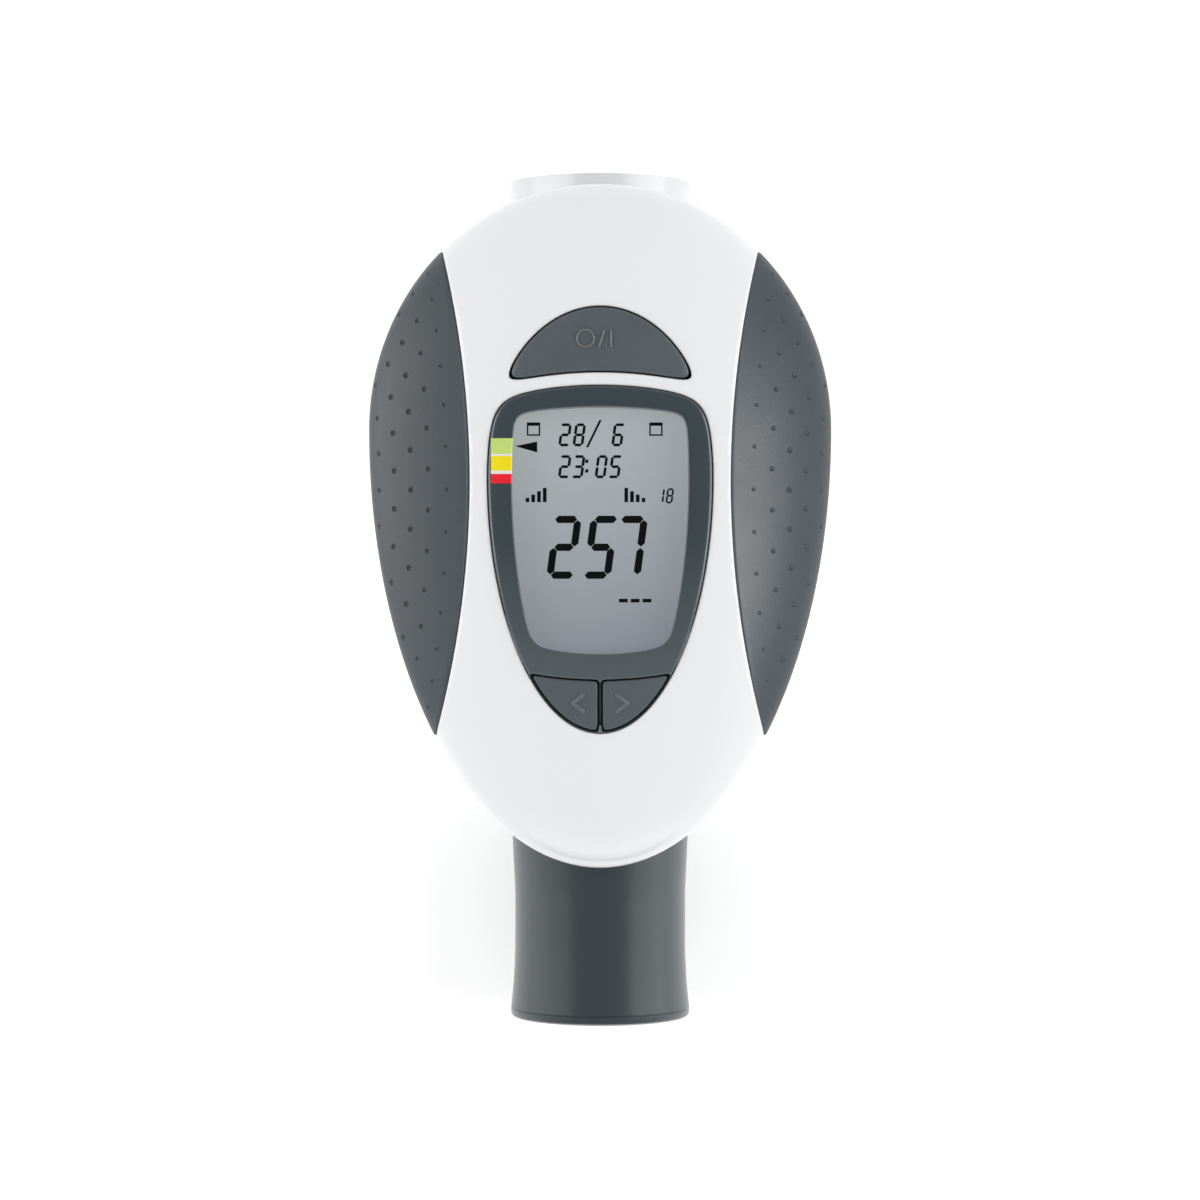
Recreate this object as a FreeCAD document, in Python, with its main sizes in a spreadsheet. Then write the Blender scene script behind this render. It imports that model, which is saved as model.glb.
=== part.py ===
import FreeCAD, Part
import os
import re

import Sketcher

# Electronic peak flow meter lying on its back, in millimetres.
# +Z is the display side, +X its right-hand side, the mouthpiece points to -Y.
# The origin is the middle of the footprint, on the surface that the meter lies on.
os.makedirs("parts", exist_ok=True)
doc = FreeCAD.newDocument("PeakFlowMeter")
sheet = doc.addObject("Spreadsheet::Sheet", "Sizes")

SIZES = {
    # case: an egg of two half ellipses that share a line across the widest place
    "caseHalfWidth": 38.5,
    "widestY": 28.3,
    "crownReach": 41.0,
    "tipReach": 72.9,
    "domeBaseZ": 38.0,
    "domeRise": 10.0,
    "partingZ": 32.0,
    "backRimZ": 22.0,
    "backDrop": 12.0,
    "frontWall": 2.6,
    "rearWall": 2.2,
    "tipFloor": 1.6,
    # side grips: skins let into the front shell inside a large circle each side
    "gripArcRadius": 155.0,
    "gripEdgeX": 21.45,
    "gripMiddleY": 19.7,
    "gripSkin": 1.2,
    # barrel behind the case, and the flat strips under it
    "barrelAxisZ": 15.6,
    "barrelRadius": 15.6,
    "barrelBoreRadius": 12.2,
    "barrelFit": 0.05,
    "barrelInletY": -36.0,
    "barrelOutletY": 72.0,
    "footHalfWidth": 8.0,
    "footHeight": 2.6,
    # display surround: a shield of two half ellipses under a flat top arc
    "shieldHalfWidth": 18.55,
    "shieldMiddleY": 20.0,
    "shieldTopReach": 35.0,
    "shieldTipReach": 42.0,
    "shieldTopY": 35.23,
    "shieldTopRadius": 66.0,
    "shieldCorner": 4.0,
    "shieldFit": 0.15,
    "bezelProud": 0.4,
    "bezelBottomZ": 43.3,
    "bezelFlange": 1.4,
    "bezelFlangeLowZ": 41.8,
    "bezelFlangeHighZ": 42.8,
    "bezelFlangeLowY": -11.0,
    "bezelFlangeHighY": 28.0,
    # window of the display
    "windowHalfWidth": 14.5,
    "windowTopReach": 45.0,
    "windowTipReach": 43.3,
    "windowTopY": 31.67,
    "windowTopRadius": 90.0,
    "windowBottomY": -8.9,
    "windowBottomRadius": 47.0,
    "windowCorner": 2.5,
    "lensThickness": 1.4,
    "lensFit": 0.05,
    # display panel, its holder and the board
    "panelHalfWidth": 14.8,
    "panelLowY": -10.4,
    "panelHighY": 32.6,
    "panelThickness": 1.8,
    "panelFit": 0.1,
    "holderWall": 0.9,
    "holderLip": 1.6,
    "stripThickness": 2.0,
    "stripEndRoom": 0.2,
    "boardTopZ": 34.6,
    "boardThickness": 1.6,
    "boardInset": 6.0,
    "boardLowY": -26.0,
    "boardHighY": 60.0,
    "chipSide": 7.0,
    "chipThickness": 1.0,
    "radioWidth": 11.0,
    "radioLength": 8.0,
    "radioThickness": 2.0,
    "buzzerRadius": 4.5,
    "buzzerThickness": 3.0,
    "buzzerEdgeRoom": 2.0,
    # colour zone strips beside the window
    "zoneOuterX": -17.9,
    "zoneFilm": 0.15,
    "greenHighY": 26.5,
    "greenLowY": 23.95,
    "yellowHighY": 23.6,
    "yellowLowY": 21.2,
    "redHighY": 20.65,
    "redLowY": 19.1,
    # buttons
    "buttonGap": 0.25,
    "buttonTravel": 0.8,
    "moonHalfWidth": 18.25,
    "moonReach": 25.05,
    "moonMiddleY": 23.0,
    "moonAboveShield": 2.31,
    "moonCorner": 1.6,
    "moonProud": 0.5,
    "moonSkirtZ": 42.2,
    "flangeThickness": 1.0,
    "flangeReach": 1.0,
    "powerStemY": 42.5,
    "stemRadius": 1.6,
    "keyRim": 0.5,
    "keyRibWidth": 0.4,
    "keyTopY": -13.3,
    "keyTopRadius": 65.0,
    "keyProud": 0.2,
    "keySkirtZ": 41.5,
    "keyFlangeReach": 0.5,
    "keyStemX": 4.6,
    "keyStemY": -16.4,
    "switchSide": 5.6,
    "switchHeight": 3.4,
    "plungerRadius": 1.5,
    "plungerHeight": 2.0,
    "plungerFit": 0.1,
    "plungerStandOut": 0.9,
    # screws and bosses
    "lowBossX": 22.5,
    "lowBossY": -15.0,
    "highBossX": 19.5,
    "highBossY": 55.5,
    "bossRadius": 3.2,
    "screwRadius": 1.1,
    "screwHeadRadius": 2.1,
    "screwHeadHeight": 1.4,
    "screwSeatZ": 25.0,
    "screwTipZ": 38.6,
    "screwPassFit": 0.2,
    "screwEndRoom": 0.6,
    "postX": 9.5,
    "postLowY": -22.0,
    "postHighY": 54.0,
    "postRadius": 2.4,
    "boardScrewRadius": 0.8,
    "boardScrewDepth": 3.6,
    "boardScrewHeadRadius": 1.6,
    "boardScrewHeadHeight": 1.1,
    "boardScrewEndRoom": 0.3,
    # batteries, one each side of the barrel
    "cellRadius": 5.25,
    "cellLength": 43.7,
    "nubRadius": 1.9,
    "nubLength": 0.8,
    "cellX": 23.6,
    "cellZ": 23.4,
    "wellLowY": -2.0,
    "wellHighY": 48.5,
    "wellFit": 0.45,
    "wellWall": 1.4,
    "contactWidth": 4.4,
    "contactThickness": 0.4,
    "contactFit": 0.1,
    "contactLowZ": 19.6,
    "leafHalfWidth": 2.2,
    "leafTipHalfWidth": 0.6,
    "leafThickness": 0.5,
    # battery door: a saddle over both wells and the barrel
    "doorHalfWidth": 31.0,
    "doorLowY": -4.5,
    "doorHighY": 50.5,
    "doorSkin": 1.6,
    "doorFit": 0.25,
    "doorCorner": 4.0,
    "doorLift": 0.5,
    "doorTabWidth": 3.0,
    "doorTabThickness": 1.2,
    "doorTabHeight": 3.0,
    # mouthpiece, measuring tube and what turns in it
    "mouthGap": 0.2,
    "mouthEndY": -72.0,
    "mouthRadius": 15.0,
    "mouthWaistRadius": 14.7,
    "mouthLipRadius": 15.4,
    "mouthShoulder": 5.0,
    "mouthFlare": 8.5,
    "mouthLip": 1.6,
    "mouthEdge": 0.4,
    "mouthBoreRadius": 12.6,
    "mouthBoreDepth": 12.0,
    "mouthStep": 2.0,
    "tubeRadius": 12.0,
    "tubeBoreRadius": 10.4,
    "tubeSocket": 10.0,
    "tubeRecess": 2.0,
    "sealWire": 0.5,
    "sealStandOut": 0.15,
    "sealFit": 0.2,
    "lowSealY": -30.0,
    "highSealY": 60.0,
    "hubRadius": 2.4,
    "ringThickness": 0.8,
    "swirlerLowY": -12.0,
    "swirlerLength": 10.5,
    "ringInset": 0.5,
    "bladeThickness": 0.8,
    "bladeLean": 2.2,
    "spiderLength": 6.5,
    "rotorLength": 14.0,
    "rotorHalfWidth": 8.8,
    "rotorThickness": 0.4,
    "rotorHubRadius": 1.0,
    "rotorEndGap": 2.5,
    "axleRadius": 0.5,
    "axleFit": 0.05,
    "axleEndPlay": 0.1,
    "jewelRadius": 1.2,
    "jewelLength": 1.5,
    "jewelFloor": 0.4,
    "sensorRadius": 1.5,
    "sensorFit": 0.15,
    "sensorX": 5.0,
    "sensorTipZ": 27.4,
    # how far a cutting solid runs past what it cuts
    "cutPast": 1.0,
    "reachPast": 5.0,
}

for row, (alias, number) in enumerate(SIZES.items(), start=1):
    sheet.set("A%d" % row, alias)
    sheet.set("B%d" % row, str(number))
    sheet.setAlias("B%d" % row, alias)
doc.recompute()

BLADES = 6
SPOKES = 4
SMALL = 1e-4

overTop = "domeBaseZ + domeRise + reachPast"
rotorMiddle = "swirlerLowY + swirlerLength + rotorEndGap + rotorLength / 2"
caseScrewPlaces = [("lowBossX", "lowBossY"), ("-lowBossX", "lowBossY"),
                   ("highBossX", "highBossY"), ("-highBossX", "highBossY")]
boardScrewPlaces = [("postX", "postLowY"), ("postX", "postHighY"), ("-postX", "postLowY"), ("-postX", "postHighY")]
sensorPlaces = [("sensorX", rotorMiddle), ("-sensorX", rotorMiddle)]
contactPlaces = [("cellX", "wellLowY"), ("cellX", "wellHighY - contactThickness"),
                 ("-cellX", "wellLowY"), ("-cellX", "wellHighY - contactThickness")]


def linked(text):
    """The expression with each size's name pointing to its cell."""
    return re.sub(r"[A-Za-z]+", lambda word: "Sizes." + word[0] if word[0] in SIZES else word[0], str(text))


def place(piece, x="0", y="0", z="0"):
    for axis, text in zip("xyz", (x, y, z)):
        piece.setExpression("Placement.Base." + axis, linked(text))


def primitive(kind, name, x, y, z, **measures):
    piece = doc.addObject("Part::" + kind, name)
    for measure, text in measures.items():
        piece.setExpression(measure, linked(text))
    place(piece, x, y, z)
    return piece


def block(name, x, y, z):
    """A box between the two ends given for each axis."""
    length, width, height = ("(%s) - (%s)" % (end, start) for start, end in (x, y, z))
    return primitive("Box", name, x[0], y[0], z[0], Length=length, Width=width, Height=height)


def disc(name, x, y, low, high, radius):
    """An upright cylinder from low to high."""
    return primitive("Cylinder", name, x, y, low, Radius=radius, Height="(%s) - (%s)" % (high, low))


def discs(name, places, low, high, radius):
    """An upright cylinder at each of the places."""
    return [disc("%s%d" % (name, number), x, y, low, high, radius) for number, (x, y) in enumerate(places)]


def rod(name, x, z, start, end, radius):
    """A cylinder along Y."""
    piece = primitive("Cylinder", name, x, start, z, Radius=radius, Height="(%s) - (%s)" % (end, start))
    piece.Placement.Rotation = FreeCAD.Rotation(FreeCAD.Vector(1, 0, 0), -90)
    return piece


def fuse(name, *pieces):
    result = doc.addObject("Part::MultiFuse", name)
    result.Shapes = list(pieces)
    return result


def common(name, *pieces):
    result = doc.addObject("Part::MultiCommon", name)
    result.Shapes = list(pieces)
    return result


def cut(name, base, *tools):
    result = doc.addObject("Part::Cut", name)
    result.Base = base
    result.Tool = tools[0] if len(tools) == 1 else fuse(name + "Tools", *tools)
    return result


def group(name, *pieces):
    result = doc.addObject("Part::Compound", name)
    result.Links = list(pieces)
    return result


def rounded(name, base, radius, wanted):
    """Upright edges of the base, chosen by their place, rounded to the radius."""
    doc.recompute()
    chosen = []
    for number, edge in enumerate(base.Shape.Edges, start=1):
        first, last = edge.Vertexes[0].Point, edge.Vertexes[-1].Point
        upright = abs(first.x - last.x) < SMALL and abs(first.y - last.y) < SMALL and abs(first.z - last.z) > SMALL
        if upright and wanted(first):
            chosen.append((number, radius, radius))
    result = doc.addObject("Part::Fillet", name)
    result.Base = base
    result.Edges = chosen
    return result


def oval(name, middleY, halfWidth, reach, low, high):
    """An upright prism on a whole ellipse."""
    outline = primitive("Ellipse", name + "Outline", "0", middleY, low,
                        MajorRadius="max(%s, %s)" % (reach, halfWidth), MinorRadius="min(%s, %s)" % (reach, halfWidth))
    outline.setExpression("Placement.Rotation.Angle", linked("(%s) > (%s) ? 90 : 0" % (reach, halfWidth)))
    prism = doc.addObject("Part::Extrusion", name)
    prism.Base = outline
    prism.Dir = FreeCAD.Vector(0, 0, 1)
    prism.DirMode = "Custom"
    prism.Solid = True
    prism.setExpression("LengthFwd", linked("(%s) - (%s)" % (high, low)))
    return prism


def column(name, halfWidth, middleY, above, below, low, high):
    """An upright prism on two half ellipses that meet at middleY."""
    halves = []
    spans = (("Above", above, middleY, "%s + %s + reachPast" % (middleY, above)),
             ("Below", below, "%s - (%s) - reachPast" % (middleY, below), middleY))
    for side, reach, start, end in spans:
        prism = oval(name + side + "Prism", middleY, halfWidth, reach, low, high)
        wide = "%s + reachPast" % halfWidth
        half = block(name + side + "Half", ("-(%s)" % wide, wide), (start, end), (low, high))
        halves.append(common(name + side, prism, half))
    return fuse(name, *halves)


def dome(name, grow, rise, turn=0):
    """The crowned front, or the back when turned over, with each half axis grown by the same amount."""
    halves = []
    base = "backRimZ" if turn else "domeBaseZ"
    for side, reach, start, end in (("Crown", "crownReach", 0, 180), ("Tip", "tipReach", 180, 360)):
        half = primitive(
            "Ellipsoid", name + side, "0", "widestY", base,
            Radius1="%s + %s" % (rise, grow), Radius2="caseHalfWidth + %s" % grow, Radius3="%s + %s" % (reach, grow),
            Angle1="-90" if turn else "0", Angle2="0" if turn else "90", Angle3="180",
        )
        half.Placement.Rotation = FreeCAD.Rotation(FreeCAD.Vector(0, 0, 1), start)
        halves.append(half)
    return halves


def egg(name, grow, low, high):
    """The case's outline as a column, grown by the same amount all round."""
    return column(name, "(caseHalfWidth + %s)" % grow, "widestY", "(crownReach + %s)" % grow,
                  "(tipReach + %s)" % grow, low, high)


def frontForm(name, grow, low="partingZ"):
    return fuse(name, egg(name + "Band", grow, low, "domeBaseZ"), *dome(name + "Dome", grow, "domeRise"))


def rearForm(name, grow, high="partingZ"):
    return fuse(name, egg(name + "Band", grow, "backRimZ", high), *dome(name + "Bowl", grow, "backDrop", turn=1))


def shield(name, grow, low, high):
    """The outline of the display surround as a column."""
    sides = column(name + "Sides", "(shieldHalfWidth + %s)" % grow, "shieldMiddleY",
                   "(shieldTopReach + %s)" % grow, "(shieldTipReach + %s)" % grow, low, high)
    top = disc(name + "Top", "0", "shieldTopY - shieldTopRadius", low, high, "shieldTopRadius + %s" % grow)
    return rounded(name, common(name + "Sharp", sides, top), SIZES["shieldCorner"],
                   lambda point: point.y > SIZES["shieldMiddleY"] + SMALL)


def window(name, grow, low, high):
    """The outline of the display window as a column."""
    sides = column(name + "Sides", "(windowHalfWidth + %s)" % grow, "shieldMiddleY",
                   "(windowTopReach + %s)" % grow, "(windowTipReach + %s)" % grow, low, high)
    top = disc(name + "Top", "0", "windowTopY - windowTopRadius", low, high, "windowTopRadius + %s" % grow)
    bottom = disc(name + "Bottom", "0", "windowBottomY + windowBottomRadius", low, high,
                  "windowBottomRadius + %s" % grow)
    return rounded(name, common(name + "Sharp", sides, top, bottom), SIZES["windowCorner"],
                   lambda point: abs(point.y - SIZES["shieldMiddleY"]) > SMALL)


def moon(name, grow, low, high):
    """The power button's outline as a column: the top of an ellipse above an arc that runs along the surround."""
    whole = oval(name + "Oval", "moonMiddleY", "(moonHalfWidth + %s)" % grow, "(moonReach + %s)" % grow, low, high)
    below = disc(name + "Below", "0", "shieldTopY - shieldTopRadius", "%s - cutPast" % low, "%s + cutPast" % high,
                 "shieldTopRadius + moonAboveShield - (%s)" % grow)
    return rounded(name, cut(name + "Sharp", whole, below), SIZES["moonCorner"], lambda point: True)


def keys(name, grow, low, high):
    """The field of the two lower buttons as a column: the surround's tip below an arc."""
    sides = column(name + "Sides", "(shieldHalfWidth - keyRim + %s)" % grow, "shieldMiddleY",
                   "(shieldTopReach - keyRim + %s)" % grow, "(shieldTipReach - keyRim + %s)" % grow, low, high)
    above = disc(name + "Above", "0", "keyTopY + keyTopRadius", "%s - cutPast" % low, "%s + cutPast" % high,
                 "keyTopRadius - (%s)" % grow)
    return cut(name, sides, above)


def plane(body, role):
    return next(item for item in body.Origin.OriginFeatures if item.Role == role)


def sketchOn(body, role, name, points):
    """A closed outline of straight lines; each corner's two places are bound to the sheet."""
    sketch = body.newObject("Sketcher::SketchObject", name)
    sketch.AttachmentSupport = (plane(body, role), [""])
    sketch.MapMode = "FlatFace"
    count = len(points)
    rough = [FreeCAD.Vector(index + 1, (index * 7) % 5, 0) for index in range(count)]
    for index in range(count):
        sketch.addGeometry(Part.LineSegment(rough[index], rough[(index + 1) % count]), False)
    for index in range(count):
        sketch.addConstraint(Sketcher.Constraint("Coincident", index, 2, (index + 1) % count, 1))
    for index, corner in enumerate(points):
        for kind, text in zip(("DistanceX", "DistanceY"), corner):
            number = sketch.addConstraint(Sketcher.Constraint(kind, -1, 1, index, 1, 1.0))
            sketch.setExpression("Constraints[%d]" % number, linked(text))
    return sketch


def turned(name, points):
    """A body turned about its own Y axis from an outline of (radius, length) corners."""
    body = doc.addObject("PartDesign::Body", name)
    sketch = sketchOn(body, "XY_Plane", name + "Profile", points)
    spin = body.newObject("PartDesign::Revolution", name + "Turn")
    spin.Profile = sketch
    spin.ReferenceAxis = (sketch, ["V_Axis"])
    spin.Angle = 360
    return body


def tube(name, inner, outer, start, end):
    return turned(name, [(inner, start), (outer, start), (outer, end), (inner, end)])


def blades(body, name, outline, length, count):
    """Plates that stand out from the hub to the ring, spaced evenly about the Y axis."""
    sketch = sketchOn(body, "YZ_Plane", name + "Outline", outline)
    plate = body.newObject("PartDesign::Pad", name + "Plate")
    plate.Profile = sketch
    plate.setExpression("Length", linked(length))
    doc.recompute()
    pattern = body.newObject("PartDesign::PolarPattern", name + "Around")
    pattern.Originals = [plate]
    pattern.Axis = (plane(body, "Y_Axis"), [""])
    pattern.Angle = 360
    pattern.Occurrences = count
    body.Tip = pattern


def padded(name, outline, length):
    """A body raised along its own Z axis from an outline of (x, y) corners."""
    body = doc.addObject("PartDesign::Body", name)
    sketch = sketchOn(body, "XY_Plane", name + "Outline", outline)
    pad = body.newObject("PartDesign::Pad", name + "Pad")
    pad.Profile = sketch
    pad.setExpression("Length", linked(length))
    return body


# Front shell, grips and what shows through it
def makeFront():
    outer = frontForm("FrontOuter", "0")
    under = frontForm("FrontUnderSkin", "(-gripSkin)", "partingZ - cutPast")
    hollow = frontForm("FrontHollow", "(-frontWall)", "partingZ - cutPast")
    farX = "caseHalfWidth + reachPast"
    roomBox = block("FrontRoomBox", ("-(%s)" % farX, farX), ("barrelInletY + rearWall", "widestY + crownReach"),
                    ("partingZ - cutPast", "domeBaseZ + domeRise"))
    tipBox = block("TipRoomBox", ("-(%s)" % farX, farX), ("widestY - tipReach", "barrelInletY + rearWall"),
                   ("partingZ + tipFloor", "domeBaseZ + domeRise"))
    shell = cut("FrontHollowed", outer, common("FrontRoom", hollow, roomBox), common("TipRoom", hollow, tipBox))
    grips = []
    for name, sign in (("left_grip", "-"), ("right_grip", "")):
        zone = disc(name + "Zone", "%s(gripEdgeX + gripArcRadius)" % sign, "gripMiddleY", "partingZ - cutPast",
                    overTop, "gripArcRadius")
        grips.append(cut(name, common(name + "Block", outer, zone), under))
    columns = discs("FrontBoss", caseScrewPlaces, "partingZ", "domeBaseZ + domeRise", "bossRadius")
    pillars = common("FrontBosses", under, group("FrontBossGroup", *columns))
    bodied = cut("FrontBodied", fuse("FrontWithBosses", shell, pillars), *grips)
    holes = discs("FrontScrewHole", caseScrewPlaces, "partingZ - cutPast", "screwTipZ + screwEndRoom", "screwRadius")
    display = shield("DisplayOpening", "0", "domeBaseZ", overTop)
    power = moon("PowerOpening", "buttonGap", "domeBaseZ", overTop)
    return [cut("front_shell", bodied, display, power, *holes)] + grips


def makeBezel():
    crown = fuse("BezelCrown", *dome("BezelCrownHalf", "bezelProud", "domeRise"))
    solid = common("BezelSolid", shield("BezelShield", "(-shieldFit)", "bezelBottomZ", overTop), crown)
    rim = shield("BezelFlangeShield", "bezelFlange", "bezelFlangeLowZ", "bezelFlangeHighZ")
    flangeBox = block("BezelFlangeBox", ("-(shieldHalfWidth + reachPast)", "shieldHalfWidth + reachPast"),
                      ("bezelFlangeLowY", "bezelFlangeHighY"), ("bezelFlangeLowZ", "bezelFlangeHighZ"))
    neck = shield("BezelNeck", "(-shieldFit)", "bezelFlangeLowZ", "bezelBottomZ")
    flange = common("BezelFlange", rim, flangeBox)
    panel = "panelHalfWidth + panelFit"
    under = "bezelFlangeLowZ - cutPast"
    pocket = block("PanelPocket", ("-(%s)" % panel, panel), ("panelLowY - panelFit", "panelHighY + panelFit"),
                   (under, "bezelBottomZ"))
    rib = block("KeyRib", ("-keyRibWidth / 2", "keyRibWidth / 2"), ("widestY - tipReach", "keyTopY + cutPast"),
                ("bezelBottomZ - cutPast", overTop))
    keyHoles = cut("KeyHoles", keys("KeyOpening", "buttonGap", under, overTop), rib)
    flangeRoom = keys("KeyFlangeRoom", "(keyFlangeReach + buttonGap)", under,
                      "keySkirtZ + flangeThickness + buttonGap")
    view = window("WindowOpening", "0", "bezelFlangeLowZ", overTop)
    whole = fuse("BezelWhole", solid, neck, flange)
    return cut("display_bezel", whole, pocket, keyHoles, flangeRoom, view)


def makeZones(bezel):
    film = fuse("ZoneCrown", *dome("ZoneCrownHalf", "(bezelProud + zoneFilm)", "domeRise"))
    strips = []
    zones = (("green_zone", "greenLowY", "greenHighY"), ("yellow_zone", "yellowLowY", "yellowHighY"),
             ("red_zone", "redLowY", "redHighY"))
    for name, low, high in zones:
        band = block(name + "Band", ("zoneOuterX", "zoneFilm - windowHalfWidth"), (low, high),
                     ("bezelBottomZ + lensThickness", overTop))
        strips.append(cut(name, common(name + "Film", band, film), bezel))
    return strips


def makeDisplay():
    panelTop = "bezelBottomZ - panelFit"
    lens = window("display_lens", "(-lensFit)", "bezelBottomZ", "bezelBottomZ + lensThickness")
    outline = [("-panelHalfWidth", "panelLowY"), ("panelHalfWidth", "panelLowY"),
               ("panelHalfWidth", "panelHighY"), ("-panelHalfWidth", "panelHighY")]
    panel = padded("lcd_panel", outline, "panelThickness")
    place(panel, z=panelTop + " - panelThickness")
    ledge = "%s - panelThickness" % panelTop
    wide = "panelHalfWidth + holderWall"
    inner = "panelHalfWidth - holderLip"
    short = inner + " - stripEndRoom"
    ends = (("panelLowY", "panelLowY + stripThickness"), ("panelHighY - stripThickness", "panelHighY"))
    frame = block("HolderFrame", ("-(%s)" % wide, wide), ("panelLowY - holderWall", "panelHighY + holderWall"),
                  ("boardTopZ", ledge))
    through = ("boardTopZ - cutPast", ledge + " + cutPast")
    room = block("HolderRoom", ("-(%s)" % inner, inner), ("panelLowY + holderLip", "panelHighY - holderLip"),
                 through)
    slots = [block("StripSlot%d" % number, ("-(%s)" % inner, inner), span, through)
             for number, span in enumerate(ends)]
    holder = cut("lcd_holder", frame, room, *slots)
    strips = [block("Strip%d" % number, ("-(%s)" % short, short), span, ("boardTopZ", ledge))
              for number, span in enumerate(ends)]
    return [lens, panel, holder, group("connector_strips", *strips)]


# Buttons: a cap with a retaining flange, and a stem that bears on the plunger of its switch
def makeSwitch(name, x, y):
    xs, ys = (("%s - switchSide / 2" % middle, "%s + switchSide / 2" % middle) for middle in (x, y))
    case = block(name + "Case", xs, ys, ("boardTopZ", "boardTopZ + switchHeight"))
    tip = "boardTopZ + switchHeight + plungerStandOut"
    boreLow = "%s - plungerHeight - buttonTravel - plungerFit" % tip
    bore = disc(name + "Bore", x, y, boreLow, tip, "plungerRadius + plungerFit")
    plunger = disc(name + "_plunger", x, y, tip + " - plungerHeight", tip, "plungerRadius")
    return [cut(name + "_switch", case, bore), plunger]


def makeButtons():
    stemLow = "boardTopZ + switchHeight + plungerStandOut"
    crown = fuse("MoonCrown", *dome("MoonCrownHalf", "moonProud", "domeRise"))
    cap = common("MoonCap", moon("MoonColumn", "0", "moonSkirtZ", overTop), crown)
    flangeTop = "moonSkirtZ + flangeThickness"
    flange = moon("MoonFlange", "flangeReach", "moonSkirtZ", flangeTop)
    stem = disc("MoonStem", "0", "powerStemY", stemLow, flangeTop, "stemRadius")
    pieces = [fuse("power_button", cap, flange, stem)] + makeSwitch("power", "0", "powerStemY")
    keyCrown = fuse("KeyCrown", *dome("KeyCrownHalf", "keyProud", "domeRise"))
    field = common("KeyField", keys("KeyColumn", "0", "keySkirtZ", overTop), keyCrown)
    keyFlangeTop = "keySkirtZ + flangeThickness"
    rim = keys("KeyFlangeColumn", "keyFlangeReach", "keySkirtZ", keyFlangeTop)
    near = "keyRibWidth / 2 + buttonGap"
    far = "shieldHalfWidth + reachPast"
    for name, sign in (("back", "-"), ("forward", "")):
        ends = (near, far) if sign == "" else ("-(%s)" % far, "-(%s)" % near)
        half = block(name + "Half", ends, ("widestY - tipReach", "shieldMiddleY"),
                     ("keySkirtZ - cutPast", overTop))
        stem = disc(name + "Stem", sign + "keyStemX", "keyStemY", stemLow, keyFlangeTop, "stemRadius")
        key = common(name + "Key", fuse(name + "Field", field, rim), half)
        pieces += [fuse(name + "_button", key, stem)] + makeSwitch(name, sign + "keyStemX", "keyStemY")
    return pieces


# Rear shell, battery door and batteries
def wells(name, grow, endGrow, low, high):
    """One box over each battery, grown by grow at the sides and by endGrow at the ends."""
    boxes = []
    for side, middle in (("Right", "cellX"), ("Left", "-cellX")):
        span = ("%s - (cellRadius + %s)" % (middle, grow), "%s + (cellRadius + %s)" % (middle, grow))
        ends = ("wellLowY - %s" % endGrow, "wellHighY + %s" % endGrow)
        boxes.append(block(name + side, span, ends, (low, high)))
    return boxes


def contacts(name, grow="0"):
    """The upright contact strips at the ends of the battery wells, which rise to the board."""
    half = "(contactWidth / 2 + %s)" % grow
    return [block("%s%d" % (name, number), ("%s - %s" % (x, half), "%s + %s" % (x, half)),
                  ("%s - %s" % (y, grow), "%s + contactThickness + %s" % (y, grow)),
                  ("contactLowZ - %s" % grow, "boardTopZ - boardThickness"))
            for number, (x, y) in enumerate(contactPlaces)]


def barrelRod(name, radius, past="0"):
    return rod(name, "0", "barrelAxisZ", "barrelInletY - %s" % past, "barrelOutletY + %s" % past, radius)


def saddle(name, grow):
    """The door's outline as a rounded column, grown by the same amount."""
    wide = "doorHalfWidth + %s" % grow
    box = block(name + "Box", ("-(%s)" % wide, wide), ("doorLowY - %s" % grow, "doorHighY + %s" % grow),
                ("-reachPast", "backRimZ"))
    return rounded(name, box, SIZES["doorCorner"], lambda point: True)


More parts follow.
